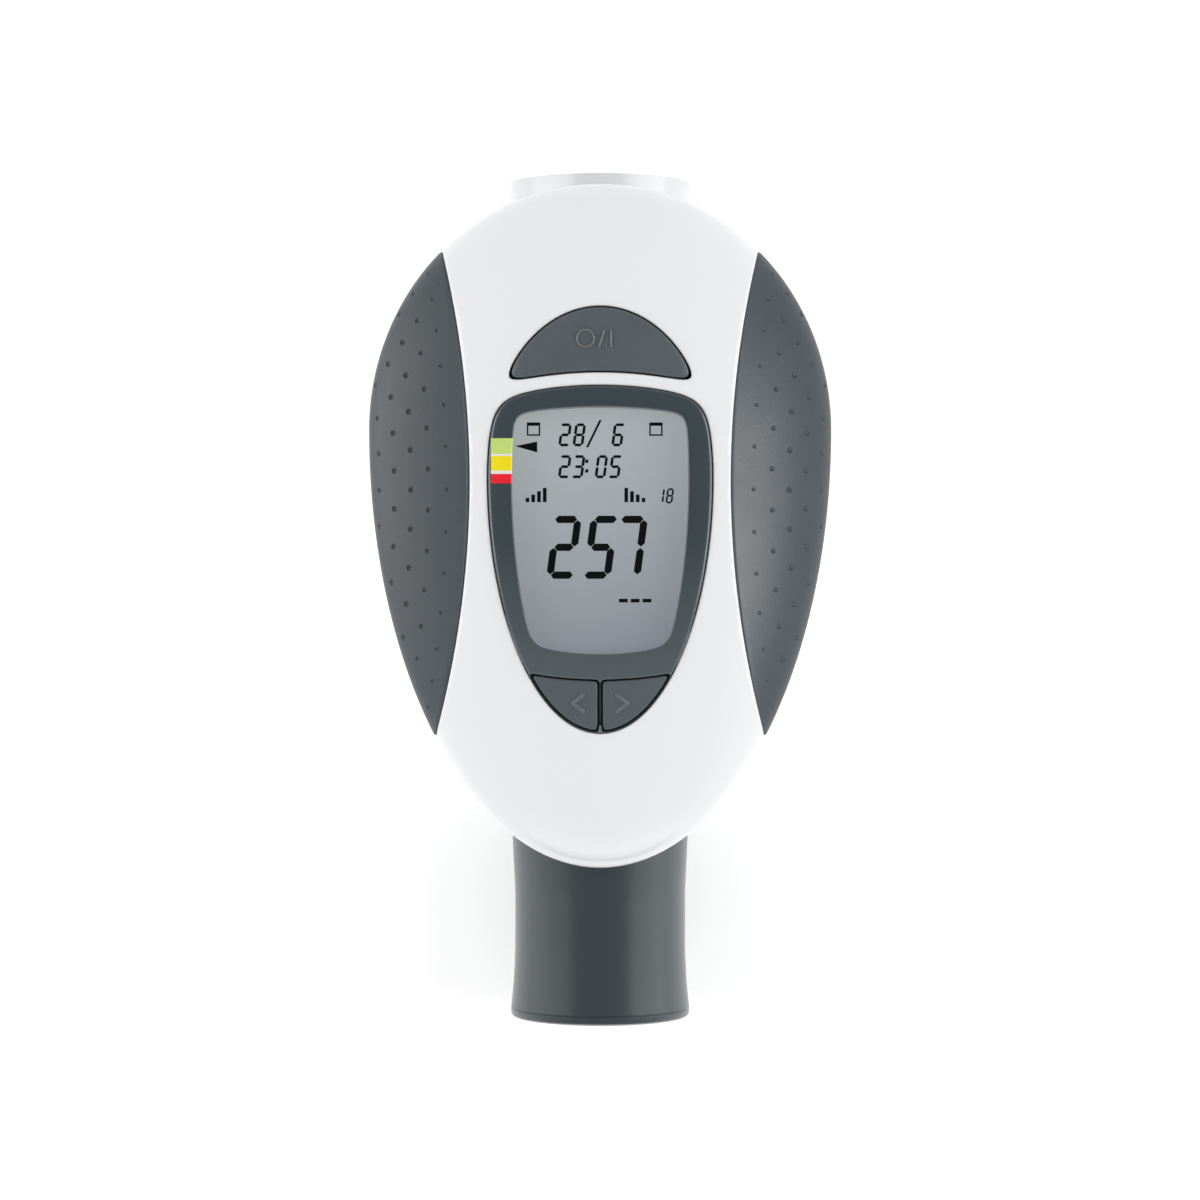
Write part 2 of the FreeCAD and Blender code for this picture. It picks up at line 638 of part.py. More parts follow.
def makeRear():
    """The rear shell, the barrel that is let into it, and the battery door over both."""
    outer = rearForm("RearOuter", "0")
    rounds = barrelRod("BarrelTube", "barrelRadius")
    thin = "(-doorSkin - doorFit)"
    recess = cut("DoorRecess", saddle("DoorOpening", "doorFit"), rearForm("UnderDoorBowl", thin),
                 barrelRod("UnderDoorBarrel", "barrelRadius + %s" % thin))

    farX = "caseHalfWidth + reachPast"
    keep = block("RearKeep", ("-(%s)" % farX, farX), ("barrelInletY", "widestY + crownReach + cutPast"),
                 ("0", "partingZ"))
    bowl = common("RearBowl", outer, keep)
    roomBox = block("RearRoomBox", ("-(%s)" % farX, farX), ("barrelInletY + rearWall", "widestY + crownReach"),
                    ("0", "partingZ + cutPast"))
    room = common("RearRoom", rearForm("RearHollow", "(-rearWall)", "partingZ + cutPast"), roomBox)
    wellTop = "cellZ + cellRadius + wellFit"
    blocks = wells("WellBlock", "wellFit + wellWall", "wellWall", "0", wellTop + " + wellWall")
    pillars = discs("RearBoss", caseScrewPlaces, "0", "partingZ", "bossRadius")
    inside = common("RearInside", bowl, group("RearInsideGroup", *blocks, *pillars))
    solid = fuse("RearSolid", cut("RearHollowed", bowl, room), inside)
    seat = barrelRod("BarrelSeat", "barrelRadius + barrelFit", "cutPast")
    shafts = discs("ScrewShaft", caseScrewPlaces, "0", "partingZ + cutPast", "screwRadius + screwPassFit")
    heads = discs("ScrewSeat", caseScrewPlaces, "0", "screwSeatZ + screwHeadHeight",
                  "screwHeadRadius + screwPassFit")
    hollows = wells("Well", "wellFit", "0", "0", wellTop)
    shell = cut("rear_shell", solid, seat, recess, *hollows, *shafts, *heads, *contacts("ContactSlot", "contactFit"))

    foot = block("Foot", ("-footHalfWidth", "footHalfWidth"), ("barrelInletY", "barrelOutletY"),
                 ("0", "footHeight"))
    low = "boardTopZ - boardThickness"
    posts = discs("Post", boardScrewPlaces, "barrelAxisZ + barrelRadius / 2", low, "postRadius")
    pilots = discs("Pilot", boardScrewPlaces, low + " - boardScrewDepth", "boardTopZ", "boardScrewRadius")
    eyes = discs("SensorHole", sensorPlaces, "barrelAxisZ", "boardTopZ", "sensorRadius + sensorFit")
    bore = barrelRod("BarrelBore", "barrelBoreRadius", "cutPast")
    barrel = cut("barrel", fuse("BarrelSolid", rounds, foot, *posts), bore, recess, *pilots, *eyes)

    whole = fuse("DoorWhole", outer, rounds)
    skin = cut("DoorSkin", common("DoorBlock", whole, saddle("DoorOutline", "0")),
               rearForm("DoorInnerBowl", "(-doorSkin)"), barrelRod("DoorInnerBarrel", "barrelRadius - doorSkin"))
    level = block("DoorLevel", ("-doorHalfWidth", "doorHalfWidth"), ("doorLowY", "doorHighY"),
                  ("-cutPast", "doorLift"))
    tabs = []
    for side, sign in (("Right", ""), ("Left", "-")):
        middle = sign + "(cellX + doorTabWidth)"
        span = (middle + " - doorTabWidth / 2", middle + " + doorTabWidth / 2")
        rise = ("cellZ - cellRadius - doorTabHeight", "cellZ - cellRadius")
        near = "wellLowY + doorFit"
        far = "wellHighY - doorFit"
        tabs.append(block("DoorLowTab" + side, span, (near, near + " + doorTabThickness"), rise))
        tabs.append(block("DoorHighTab" + side, span, (far + " - doorTabThickness", far), rise))
    tabbed = fuse("DoorWithTabs", skin, common("DoorTabs", whole, group("DoorTabGroup", *tabs)))
    return [shell, barrel, cut("battery_door", tabbed, level)]


def makeBatteries():
    cells = []
    nubEnd = "cellLength + nubLength"
    half = [("0", "0"), ("cellRadius", "0"), ("cellRadius", "cellLength"), ("nubRadius", "cellLength"),
            ("nubRadius", nubEnd), ("0", nubEnd)]
    for name, side, turn in (("left_battery_cell", "-", 0), ("right_battery_cell", "", 180)):
        cell = turned(name, half)
        cell.Placement.Rotation = FreeCAD.Rotation(FreeCAD.Vector(0, 0, 1), turn)
        start = "wellHighY - contactThickness - (%s)" % nubEnd
        if turn:
            start = "wellLowY + contactThickness + " + nubEnd
        place(cell, side + "cellX", start, "cellZ")
        cells.append(cell)
    free = "wellHighY - wellLowY - 2 * contactThickness - cellLength - nubLength"
    foot = "leafHalfWidth - leafThickness"
    bow = [("-leafHalfWidth", "0"), ("-(%s)" % foot, "0"), ("0", "%s - leafThickness" % free), (foot, "0"),
           ("leafHalfWidth", "0"), ("leafTipHalfWidth", free), ("-leafTipHalfWidth", free)]
    springs = []
    for name, x, turn, start in (("LeftSpring", "-cellX", 0, "wellLowY + contactThickness"),
                                 ("RightSpring", "cellX", 180, "wellHighY - contactThickness")):
        spring = padded(name, bow, "contactWidth")
        spring.Placement.Rotation = FreeCAD.Rotation(FreeCAD.Vector(0, 0, 1), turn)
        place(spring, x, start, "cellZ - contactWidth / 2")
        springs.append(spring)
    return cells + [group("battery_contacts", *contacts("Contact")), group("battery_springs", *springs)]


# Electronics
def makeBoard():
    low = "boardTopZ - boardThickness"
    form = egg("BoardForm", "(-boardInset)", low, "boardTopZ")
    trim = block("BoardTrim", ("-caseHalfWidth", "caseHalfWidth"), ("boardLowY", "boardHighY"),
                 (low, "boardTopZ"))
    through = (low + " - cutPast", "boardTopZ + cutPast")
    notches = discs("BoardNotch", caseScrewPlaces, *through, "bossRadius + screwPassFit")
    holes = discs("BoardHole", boardScrewPlaces, *through, "boardScrewRadius + screwPassFit")
    board = cut("main_board", common("BoardBlank", form, trim), *notches, *holes)
    half = "chipSide / 2"
    chip = block("microcontroller", ("-" + half, half), ("shieldMiddleY - %s" % half, "shieldMiddleY + %s" % half),
                 ("boardTopZ", "boardTopZ + chipThickness"))
    radioLow = "powerStemY + switchSide"
    radio = block("radio_module", ("-radioWidth / 2", "radioWidth / 2"), (radioLow, radioLow + " + radioLength"),
                  ("boardTopZ", "boardTopZ + radioThickness"))
    buzzer = disc("buzzer", "caseHalfWidth - boardInset - buzzerEdgeRoom - buzzerRadius", "shieldMiddleY",
                  "boardTopZ", "boardTopZ + buzzerThickness", "buzzerRadius")
    eyes = []
    for name, (x, y) in zip(("infrared_receiver", "infrared_emitter"), sensorPlaces):
        middle = "sensorTipZ + sensorRadius"
        neck = disc(name + "Neck", x, y, middle, low, "sensorRadius")
        eyes.append(fuse(name, neck, primitive("Sphere", name + "Tip", x, y, middle, Radius="sensorRadius")))
    return [board, chip, radio, buzzer] + eyes


def screws(name, places, seat, radius, headRadius, headHeight, length, sign):
    """A screw at each place: the head's underside at the seat, the shank upwards, or downwards with a minus."""
    whole = []
    for number, (x, y) in enumerate(places):
        tip = "%s(%s)" % (sign, length)
        shoulder = "%s(%s - %s)" % (sign, length, radius)
        head = "%s(-%s)" % (sign, headHeight)
        body = doc.addObject("PartDesign::Body", "%s%d" % (name, number))
        outline = [("0", tip), (radius, shoulder), (radius, "0"), (headRadius, "0"), (headRadius, head), ("0", head)]
        profile = sketchOn(body, "XZ_Plane", body.Name + "Profile", outline)
        spin = body.newObject("PartDesign::Revolution", body.Name + "Turn")
        spin.Profile = profile
        spin.ReferenceAxis = (profile, ["V_Axis"])
        spin.Angle = 360
        place(body, x, y, seat)
        whole.append(body)
    return group(name, *whole)


def makeScrews():
    seat = "screwSeatZ + screwHeadHeight"
    return [screws("case_screws", caseScrewPlaces, seat, "screwRadius", "screwHeadRadius", "screwHeadHeight",
                   "screwTipZ - (%s)" % seat, ""),
            screws("board_screws", boardScrewPlaces, "boardTopZ", "boardScrewRadius", "boardScrewHeadRadius",
                   "boardScrewHeadHeight", "boardThickness + boardScrewDepth - boardScrewEndRoom", "-")]


# Flow cartridge: everything that pulls out of the barrel
def makeCartridge():
    start = "barrelInletY - mouthGap"
    waistLow = "mouthEndY + mouthFlare"
    mouthpiece = turned("mouthpiece", [
        ("tubeRadius", start), ("mouthRadius", start), ("mouthRadius", "%s - mouthShoulder" % start),
        ("mouthWaistRadius", "%s - 2 * mouthShoulder" % start), ("mouthWaistRadius", waistLow),
        ("mouthLipRadius", "mouthEndY + mouthLip"), ("mouthLipRadius", "mouthEndY + mouthEdge"),
        ("mouthLipRadius - mouthEdge", "mouthEndY"), ("mouthBoreRadius", "mouthEndY"),
        ("mouthBoreRadius", "mouthEndY + mouthBoreDepth"),
        ("tubeBoreRadius", "mouthEndY + mouthBoreDepth + mouthStep"),
        ("tubeBoreRadius", "%s - tubeSocket" % start), ("tubeRadius", "%s - tubeSocket" % start)])
    grooveRadius = "tubeRadius + sealStandOut - 2 * sealWire"
    outline = [("tubeBoreRadius", "%s - tubeSocket" % start), ("tubeRadius", "%s - tubeSocket" % start)]
    for middle in ("lowSealY", "highSealY"):
        low = "%s - sealWire - sealFit" % middle
        high = "%s + sealWire + sealFit" % middle
        outline += [("tubeRadius", low), (grooveRadius, low), (grooveRadius, high), ("tubeRadius", high)]
    outline += [("tubeRadius", "barrelOutletY - tubeRecess"), ("tubeBoreRadius", "barrelOutletY - tubeRecess")]
    measuringTube = turned("measuring_tube", outline)
    seals = []
    for number, middle in enumerate(("lowSealY", "highSealY")):
        ring = primitive("Torus", "Seal%d" % number, "0", middle, "barrelAxisZ",
                         Radius1="tubeRadius + sealStandOut - sealWire", Radius2="sealWire")
        ring.Placement.Rotation = FreeCAD.Rotation(FreeCAD.Vector(1, 0, 0), 90)
        seals.append(ring)
    swirlerEnd = "swirlerLowY + swirlerLength"
    spiderStart = swirlerEnd + " + 2 * rotorEndGap + rotorLength"
    ringInner = "tubeBoreRadius - ringThickness"
    hubs = []
    for name, low, high, jewelAtHigh, lean, count in (
            ("inlet_swirler", "swirlerLowY", swirlerEnd, True, "bladeLean", BLADES),
            ("outlet_spider", spiderStart, spiderStart + " + spiderLength", False, "0", SPOKES)):
        floor = "%s - jewelLength" % high if jewelAtHigh else "%s + jewelLength" % low
        if jewelAtHigh:
            corners = [("0", low), ("hubRadius", low), ("hubRadius", high), ("jewelRadius", high),
                       ("jewelRadius", floor), ("0", floor)]
        else:
            corners = [("0", floor), ("jewelRadius", floor), ("jewelRadius", low), ("hubRadius", low),
                       ("hubRadius", high), ("0", high)]
        body = turned(name + "Hub", corners)
        first, last = ("%s + jewelLength + ringInset" % low, "%s - jewelLength - ringInset" % high)
        half = "bladeThickness / 2"
        outline = [(first, "%s - %s" % (lean, half)), (last, "-%s - %s" % (lean, half)),
                   (last, "-%s + %s" % (lean, half)), (first, "%s + %s" % (lean, half))]
        blades(body, name + "Hub", outline, "tubeBoreRadius - ringThickness / 2", count)
        place(body, z="barrelAxisZ")
        ring = tube(name + "Ring", ringInner, "tubeBoreRadius", first, last)
        place(ring, z="barrelAxisZ")
        spokes = common(name + "Spokes", body, rod(name + "Bound", "0", "barrelAxisZ", low, high, "tubeBoreRadius"))
        hubs.append(fuse(name, spokes, ring))
    jewels = []
    jewelStart = swirlerEnd + " - jewelLength"
    for name, low, boreLow in (("InletJewel", jewelStart, jewelStart + " + jewelFloor"),
                               ("OutletJewel", spiderStart, spiderStart)):
        blank = rod(name + "Blank", "0", "barrelAxisZ", low, low + " + jewelLength", "jewelRadius")
        bore = rod(name + "Bore", "0", "barrelAxisZ", boreLow, boreLow + " + jewelLength - jewelFloor",
                   "axleRadius + axleFit")
        jewels.append(cut(name, blank, bore))
    vaneLow = swirlerEnd + " + rotorEndGap"
    plate = block("VanePlate", ("-rotorHalfWidth", "rotorHalfWidth"), (vaneLow, vaneLow + " + rotorLength"),
                  ("barrelAxisZ - rotorThickness / 2", "barrelAxisZ + rotorThickness / 2"))
    sleeve = rod("VaneSleeve", "0", "barrelAxisZ", vaneLow, vaneLow + " + rotorLength", "rotorHubRadius")
    axleLow = jewelStart + " + jewelFloor + axleEndPlay"
    axleHigh = spiderStart + " + jewelLength - jewelFloor - axleEndPlay"
    axle = rod("rotor_axle", "0", "barrelAxisZ", axleLow, axleHigh, "axleRadius")
    vane = cut("rotor_vane", fuse("VaneSolid", plate, sleeve), axle)
    for piece in (mouthpiece, measuringTube):
        place(piece, z="barrelAxisZ")
    rings = group("tube_seals", *seals)
    return [mouthpiece, measuringTube, rings, *hubs, group("bearing_jewels", *jewels), vane, axle]


front = makeFront()
bezel = makeBezel()
pieces = front + [bezel] + makeZones(bezel) + makeDisplay() + makeButtons() + makeRear() + makeBatteries()
pieces += makeBoard() + makeScrews() + makeCartridge()
nodes = {piece.Label: piece for piece in pieces}
doc.recompute()

for item in doc.Objects:
    if "Invalid" in item.State or "Error" in item.State:
        raise RuntimeError("%s failed: %s" % (item.Name, item.State))
for name, piece in nodes.items():
    shape = piece.Shape
    if shape.isNull() or not shape.isValid() or not shape.Solids:
        raise RuntimeError("%s has no sound shape" % name)
for name, piece in nodes.items():
    piece.Shape.exportStep("parts/%s.step" % name)
    print("%-20s %2d solid(s) %10.1f mm3" % (name, len(piece.Shape.Solids), piece.Shape.Volume))
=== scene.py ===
import math

import bpy
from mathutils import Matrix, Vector


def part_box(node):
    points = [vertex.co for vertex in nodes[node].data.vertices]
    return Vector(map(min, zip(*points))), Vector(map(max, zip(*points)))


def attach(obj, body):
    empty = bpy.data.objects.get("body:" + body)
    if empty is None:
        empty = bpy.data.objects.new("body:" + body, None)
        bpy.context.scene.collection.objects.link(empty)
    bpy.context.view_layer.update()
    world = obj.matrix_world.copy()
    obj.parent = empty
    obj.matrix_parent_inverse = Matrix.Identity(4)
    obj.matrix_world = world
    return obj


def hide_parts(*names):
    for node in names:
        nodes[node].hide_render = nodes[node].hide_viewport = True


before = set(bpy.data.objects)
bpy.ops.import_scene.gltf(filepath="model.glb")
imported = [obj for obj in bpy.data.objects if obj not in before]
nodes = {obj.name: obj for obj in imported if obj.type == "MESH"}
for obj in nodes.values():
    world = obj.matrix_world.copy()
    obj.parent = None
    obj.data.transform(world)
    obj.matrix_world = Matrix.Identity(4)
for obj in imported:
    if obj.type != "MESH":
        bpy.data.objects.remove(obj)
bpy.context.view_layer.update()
mm = 0.001

# The case's form, in millimetres: two half ellipses in plan, a band, and a crowned front
case = {"widestY": 28.3, "crownReach": 41.0, "tipReach": 72.9, "domeBaseZ": 38.0, "domeRise": 10.0,
        "partingZ": 32.0, "wall": 2.6, "tipInsideY": -33.8}
case["halfWidth"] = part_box("rear_shell")[1].x / mm
case["lensZ"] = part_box("display_lens")[1].z / mm
case["panelZ"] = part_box("lcd_panel")[1].z / mm


def reachAt(y):
    return case["crownReach"] if y > case["widestY"] else case["tipReach"]


def domeZ(x, y, grow=0.0):
    share = (x / (case["halfWidth"] + grow)) ** 2 + ((y - case["widestY"]) / (reachAt(y) + grow)) ** 2
    return case["domeBaseZ"] + (case["domeRise"] + grow) * math.sqrt(max(0.0, 1 - share))


# Outlines as fields: each gives how far a place lies inside the outline, in millimetres
def insideEgg(x, y, middleY, halfWidth, above, below):
    reach = above if y > middleY else below
    size = math.hypot(x / halfWidth, (y - middleY) / reach)
    if size < 1e-6:
        return min(halfWidth, reach)
    return (1 - size) * size / math.hypot(x / halfWidth ** 2, (y - middleY) / reach ** 2)


def softLeast(values, rounding):
    least = min(values)
    return least - rounding * math.log(sum(math.exp((least - value) / rounding) for value in values))


shield = {"halfWidth": 18.55, "middleY": 20.0, "above": 35.0, "below": 42.0, "topY": 35.23, "topRadius": 66.0,
          "rounding": 1.7}
view = {"halfWidth": 14.5, "above": 45.0, "below": 43.3, "topY": 31.67, "topRadius": 90.0, "bottomY": -8.9,
        "bottomRadius": 47.0, "rounding": 0.9}
moon = {"halfWidth": 18.25, "reach": 25.05, "middleY": 23.0, "aboveShield": 2.31, "rounding": 1.1}
key = {"rim": 0.5, "ribHalf": 0.2, "gap": 0.25, "topY": -13.3, "topRadius": 65.0, "rounding": 0.22}
grip = {"radius": 155.0, "edgeX": 21.45, "middleY": 19.7}
crescent = {"middleY": -23.5, "radius": 19.8, "reach": 12.5}


def shieldField(x, y):
    sides = insideEgg(x, y, shield["middleY"], shield["halfWidth"], shield["above"], shield["below"])
    top = shield["topRadius"] - math.hypot(x, y - shield["topY"] + shield["topRadius"])
    return softLeast([sides, top], shield["rounding"])


def viewField(x, y):
    sides = insideEgg(x, y, shield["middleY"], view["halfWidth"], view["above"], view["below"])
    top = view["topRadius"] - math.hypot(x, y - view["topY"] + view["topRadius"])
    bottom = view["bottomRadius"] - math.hypot(x, y - view["bottomY"] - view["bottomRadius"])
    return softLeast([sides, top, bottom], view["rounding"])


def moonField(x, y):
    oval = insideEgg(x, y, moon["middleY"], moon["halfWidth"], moon["reach"], moon["reach"])
    arc = math.hypot(x, y - shield["topY"] + shield["topRadius"]) - shield["topRadius"] - moon["aboveShield"]
    return softLeast([oval, arc], moon["rounding"])


def keyField(side):
    def field(x, y):
        half, above, below = (shield[part] - key["rim"] for part in ("halfWidth", "above", "below"))
        sides = insideEgg(x, y, shield["middleY"], half, above, below)
        top = math.hypot(x, y - key["topY"] - key["topRadius"]) - key["topRadius"]
        rib = side * x - key["ribHalf"] - key["gap"]
        return softLeast([sides, top, rib], key["rounding"])
    return field


def gripField(side):
    def field(x, y):
        return grip["radius"] - math.hypot(side * x - grip["edgeX"] - grip["radius"], y - grip["middleY"])
    return field


# Modelling helpers
def deselect():
    if bpy.context.object and bpy.context.object.mode != "OBJECT":
        bpy.ops.object.mode_set(mode="OBJECT")
    bpy.ops.object.select_all(action="DESELECT")


def activate(piece):
    deselect()
    piece.select_set(True)
    bpy.context.view_layer.objects.active = piece


def tidy(piece, angle=35):
    activate(piece)
    bpy.ops.object.mode_set(mode="EDIT")
    bpy.ops.mesh.select_all(action="SELECT")
    bpy.ops.mesh.remove_doubles(threshold=0.000002)
    bpy.ops.mesh.normals_make_consistent(inside=False)
    bpy.ops.object.mode_set(mode="OBJECT")
    bpy.ops.object.shade_smooth_by_angle(angle=math.radians(angle))
    return piece


def lastInside(inside, near, far, halvings):
    # the furthest value from near towards far for which inside still holds, found by halving
    for halving in range(halvings):
        middle = (near + far) / 2
        if inside(middle):
            near = middle
        else:
            far = middle
    return near


def traced(field, centre, count, inset):
    # where rays from the centre reach the line that lies inset inside the outline
    points = []
    for step in range(count):
        angle = 2 * math.pi * step / count
        at = lambda far, angle=angle: (centre[0] + far * math.cos(angle), centre[1] + far * math.sin(angle))
        points.append(at(lastInside(lambda far: field(*at(far)) > inset, 0.0, 100.0, 26)))
    return points


def globePiece(name, field, centre, rings, count=192):
    # a globe whose rings are moved to the piece's, top pole first; a ring is (inset, share, height)
    deselect()
    bpy.ops.mesh.primitive_uv_sphere_add(segments=count, ring_count=len(rings) + 1, radius=1)
    piece = bpy.context.object
    piece.name = name
    outlines = {inset: traced(field, centre, count, inset) for inset in {ring[0] for ring in rings}}
    for vertex in piece.data.vertices:
        level = round(math.acos(max(-1, min(1, vertex.co.z))) / math.pi * (len(rings) + 1))
        onRing = 0 < level <= len(rings)
        inset, share, height = rings[max(0, min(len(rings), level) - 1)]
        step = round(math.atan2(vertex.co.y, vertex.co.x) / (2 * math.pi) * count) % count
        edgeX, edgeY = outlines[inset][step]
        x = centre[0] + (edgeX - centre[0]) * share * onRing
        y = centre[1] + (edgeY - centre[1]) * share * onRing
        vertex.co = Vector((x, y, height(x, y))) * mm
    return tidy(piece)


def ringPiece(name, count, section, angle=35):
    # a torus whose tube is moved to a closed section; section(step) gives the points at that turn
    deselect()
    corners = len(section(0))
    bpy.ops.mesh.primitive_torus_add(major_segments=count, minor_segments=corners, major_radius=1,
                                     minor_radius=0.25)
    piece = bpy.context.object
    piece.name = name
    sections = [section(step) for step in range(count)]
    for vertex in piece.data.vertices:
        step = round(math.atan2(vertex.co.y, vertex.co.x) / (2 * math.pi) * count) % count
        turn = math.atan2(vertex.co.z, math.hypot(vertex.co.x, vertex.co.y) - 1)
        corner = round(turn / (2 * math.pi) * corners) % corners
        vertex.co = Vector(sections[step][corner]) * mm
    return tidy(piece, angle)


def rims(radius, top, steps=4):
    # rings that round an edge: (inset, 1, height) from the top surface down the side
    rings = []
    for step in range(steps + 1):
        turn = math.pi / 2 * step / steps
        inset = radius * (1 - math.sin(turn))
        drop = radius * (1 - math.cos(turn))
        rings.append((inset, 1.0, lambda x, y, drop=drop: top(x, y) - drop))
    return rings


def cutBy(piece, tools):
    for tool in tools:
        cutter = piece.modifiers.new("cut", "BOOLEAN")
        cutter.operation = "DIFFERENCE"
        cutter.solver = "EXACT"
        cutter.object = tool
        activate(piece)
        bpy.ops.object.modifier_apply(modifier=cutter.name)
        bpy.data.objects.remove(tool)


def joined(name, pieces):
    activate(pieces[0])
    for piece in pieces:
        piece.select_set(True)
    if len(pieces) > 1:
        bpy.ops.object.join()
    whole = bpy.context.object
    whole.name = name
    bpy.ops.object.transform_apply(location=True, rotation=True, scale=True)
    return whole


def finish(piece, body, slot, material, *replaced):
    piece.data.materials.clear()
    piece.data.materials.append(material)
    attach(piece, body)
    if replaced:
        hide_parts(*replaced)


# Shader helpers
class Flow:
    # wraps a socket so that shader maths reads as plain expressions
    def __init__(self, tree, socket):
        self.tree = tree
        self.socket = socket

    def make(self, kind, settings=None, **inputs):
        node = self.tree.nodes.new(kind)
        for name, value in (settings or {}).items():
            setattr(node, name, value)
        for name, value in inputs.items():
            place = int(name[1:]) if name[1:].isdigit() else name.replace("_", " ")
            if isinstance(value, Flow):
                self.tree.links.new(value.socket, node.inputs[place])
            else:
                node.inputs[place].default_value = value
        return node

    def out(self, kind, settings=None, result=0, **inputs):
        return Flow(self.tree, self.make(kind, settings, **inputs).outputs[result])

    def math(self, operation, first, second):
        return self.out("ShaderNodeMath", {"operation": operation}, i0=first, i1=second)

    def mixed(self, share, first, second, blend="MIX"):
        first, second = (value if isinstance(value, Flow) else (*value, 1) for value in (first, second))
        settings = {"data_type": "RGBA", "blend_type": blend}
        return self.out("ShaderNodeMix", settings, 2, i0=share, i6=first, i7=second)

    def __add__(self, other):
        return self.math("ADD", self, other)

    def __sub__(self, other):
        return self.math("SUBTRACT", self, other)

    def __rsub__(self, other):
        return self.math("SUBTRACT", other, self)

    def __mul__(self, other):
        return self.math("MULTIPLY", self, other)


def newMaterial(name, **constants):
    material = bpy.data.materials.new(name)
    material.use_nodes = True
    shader = material.node_tree.nodes["Principled BSDF"]
    for socket, value in constants.items():
        shader.inputs[socket.replace("_", " ")].default_value = value
    flow = Flow(material.node_tree, material.node_tree.nodes.new("ShaderNodeTexCoord").outputs["Object"])
    return material, shader, flow


def feed(flow, shader, socket, value):
    flow.tree.links.new(value.socket, shader.inputs[socket])


def noise(flow, scale, detail=2.0, roughness=0.5):
    return flow.out("ShaderNodeTexNoise", None, "Fac", Vector=flow, Scale=scale, Detail=detail,
                    Roughness=roughness)


def clamped(flow, value):
    return flow.out("ShaderNodeClamp", None, "Result", Value=value)


def moulded(name, look):
    # moulded plastic or rubber: slow colour drift, fine roughness change and a small grain; the bezel adds a
    # painted reflection, the front shell and the grips add painted shade
    material, shader, flow = newMaterial(name, Coat_Weight=look["coat"], Coat_Roughness=look["coatRoughness"],
                                         IOR=look["ior"], Metallic=look.get("metal", 0.0))
    drift = noise(flow, look["driftScale"])
    dark = tuple(part * (1 - look["drift"]) for part in look["colour"])
    light = tuple(min(1.0, part * (1 + look["drift"])) for part in look["colour"])
    colour = flow.mixed(drift, dark, light)
    if "paintedReflectionColour" in look:   # painted reflection: the colour lightens towards the mouthpiece, as if a bright light at the foot were mirrored in it
        along = flow.out("ShaderNodeSeparateXYZ", None, 1, i0=flow)
        fall = (look["fadeFrom"] - along) * (1 / (look["fadeFrom"] - look["fadeTo"]))
        colour = flow.mixed(clamped(flow, fall), colour, look["paintedReflectionColour"])
    if "paintedLineShade" in look:   # painted shade: the crescent groove over the tip is darkened in colour
        x, y = (flow.out("ShaderNodeSeparateXYZ", None, axis, i0=flow) * (1 / mm) for axis in (0, 1))
        down = y - crescent["middleY"]
        far = (x * x + down * down).math("POWER", x * x + down * down, 0.5)
        away = far.math("ABSOLUTE", far - crescent["radius"], 0.0)
        near = clamped(flow, 1 - away * (1 / look["lineWidth"]))
        low = clamped(flow, down * -0.5 - 5)
        spread = x * (1 / crescent["reach"])
        side = clamped(flow, 1 - spread * spread * spread * spread)
        colour = flow.mixed(near * low * side, colour, look["paintedLineShade"])
    if "pitShadeColour" in look:   # painted shade: the bottoms of the dimples are darkened in colour
        paintedPitShade = flow.out("ShaderNodeAttribute", {"attribute_name": "paintedPitShade"}, "Fac")
        colour = flow.mixed(paintedPitShade, colour, look["pitShadeColour"])
    feed(flow, shader, "Base Color", colour)
    smudge = noise(flow, look["driftScale"] * 3.1, 4.0, 0.6)
    least = look["roughness"] - look["roughnessChange"] / 2
    feed(flow, shader, "Roughness", smudge * look["roughnessChange"] + least)
    grain = noise(flow, look["grainScale"], 3.0, 0.55)
    bump = flow.out("ShaderNodeBump", None, "Normal", Strength=look["grain"], Distance=look["grainDepth"],
                    Height=grain)
    feed(flow, shader, "Normal", bump)
    return material


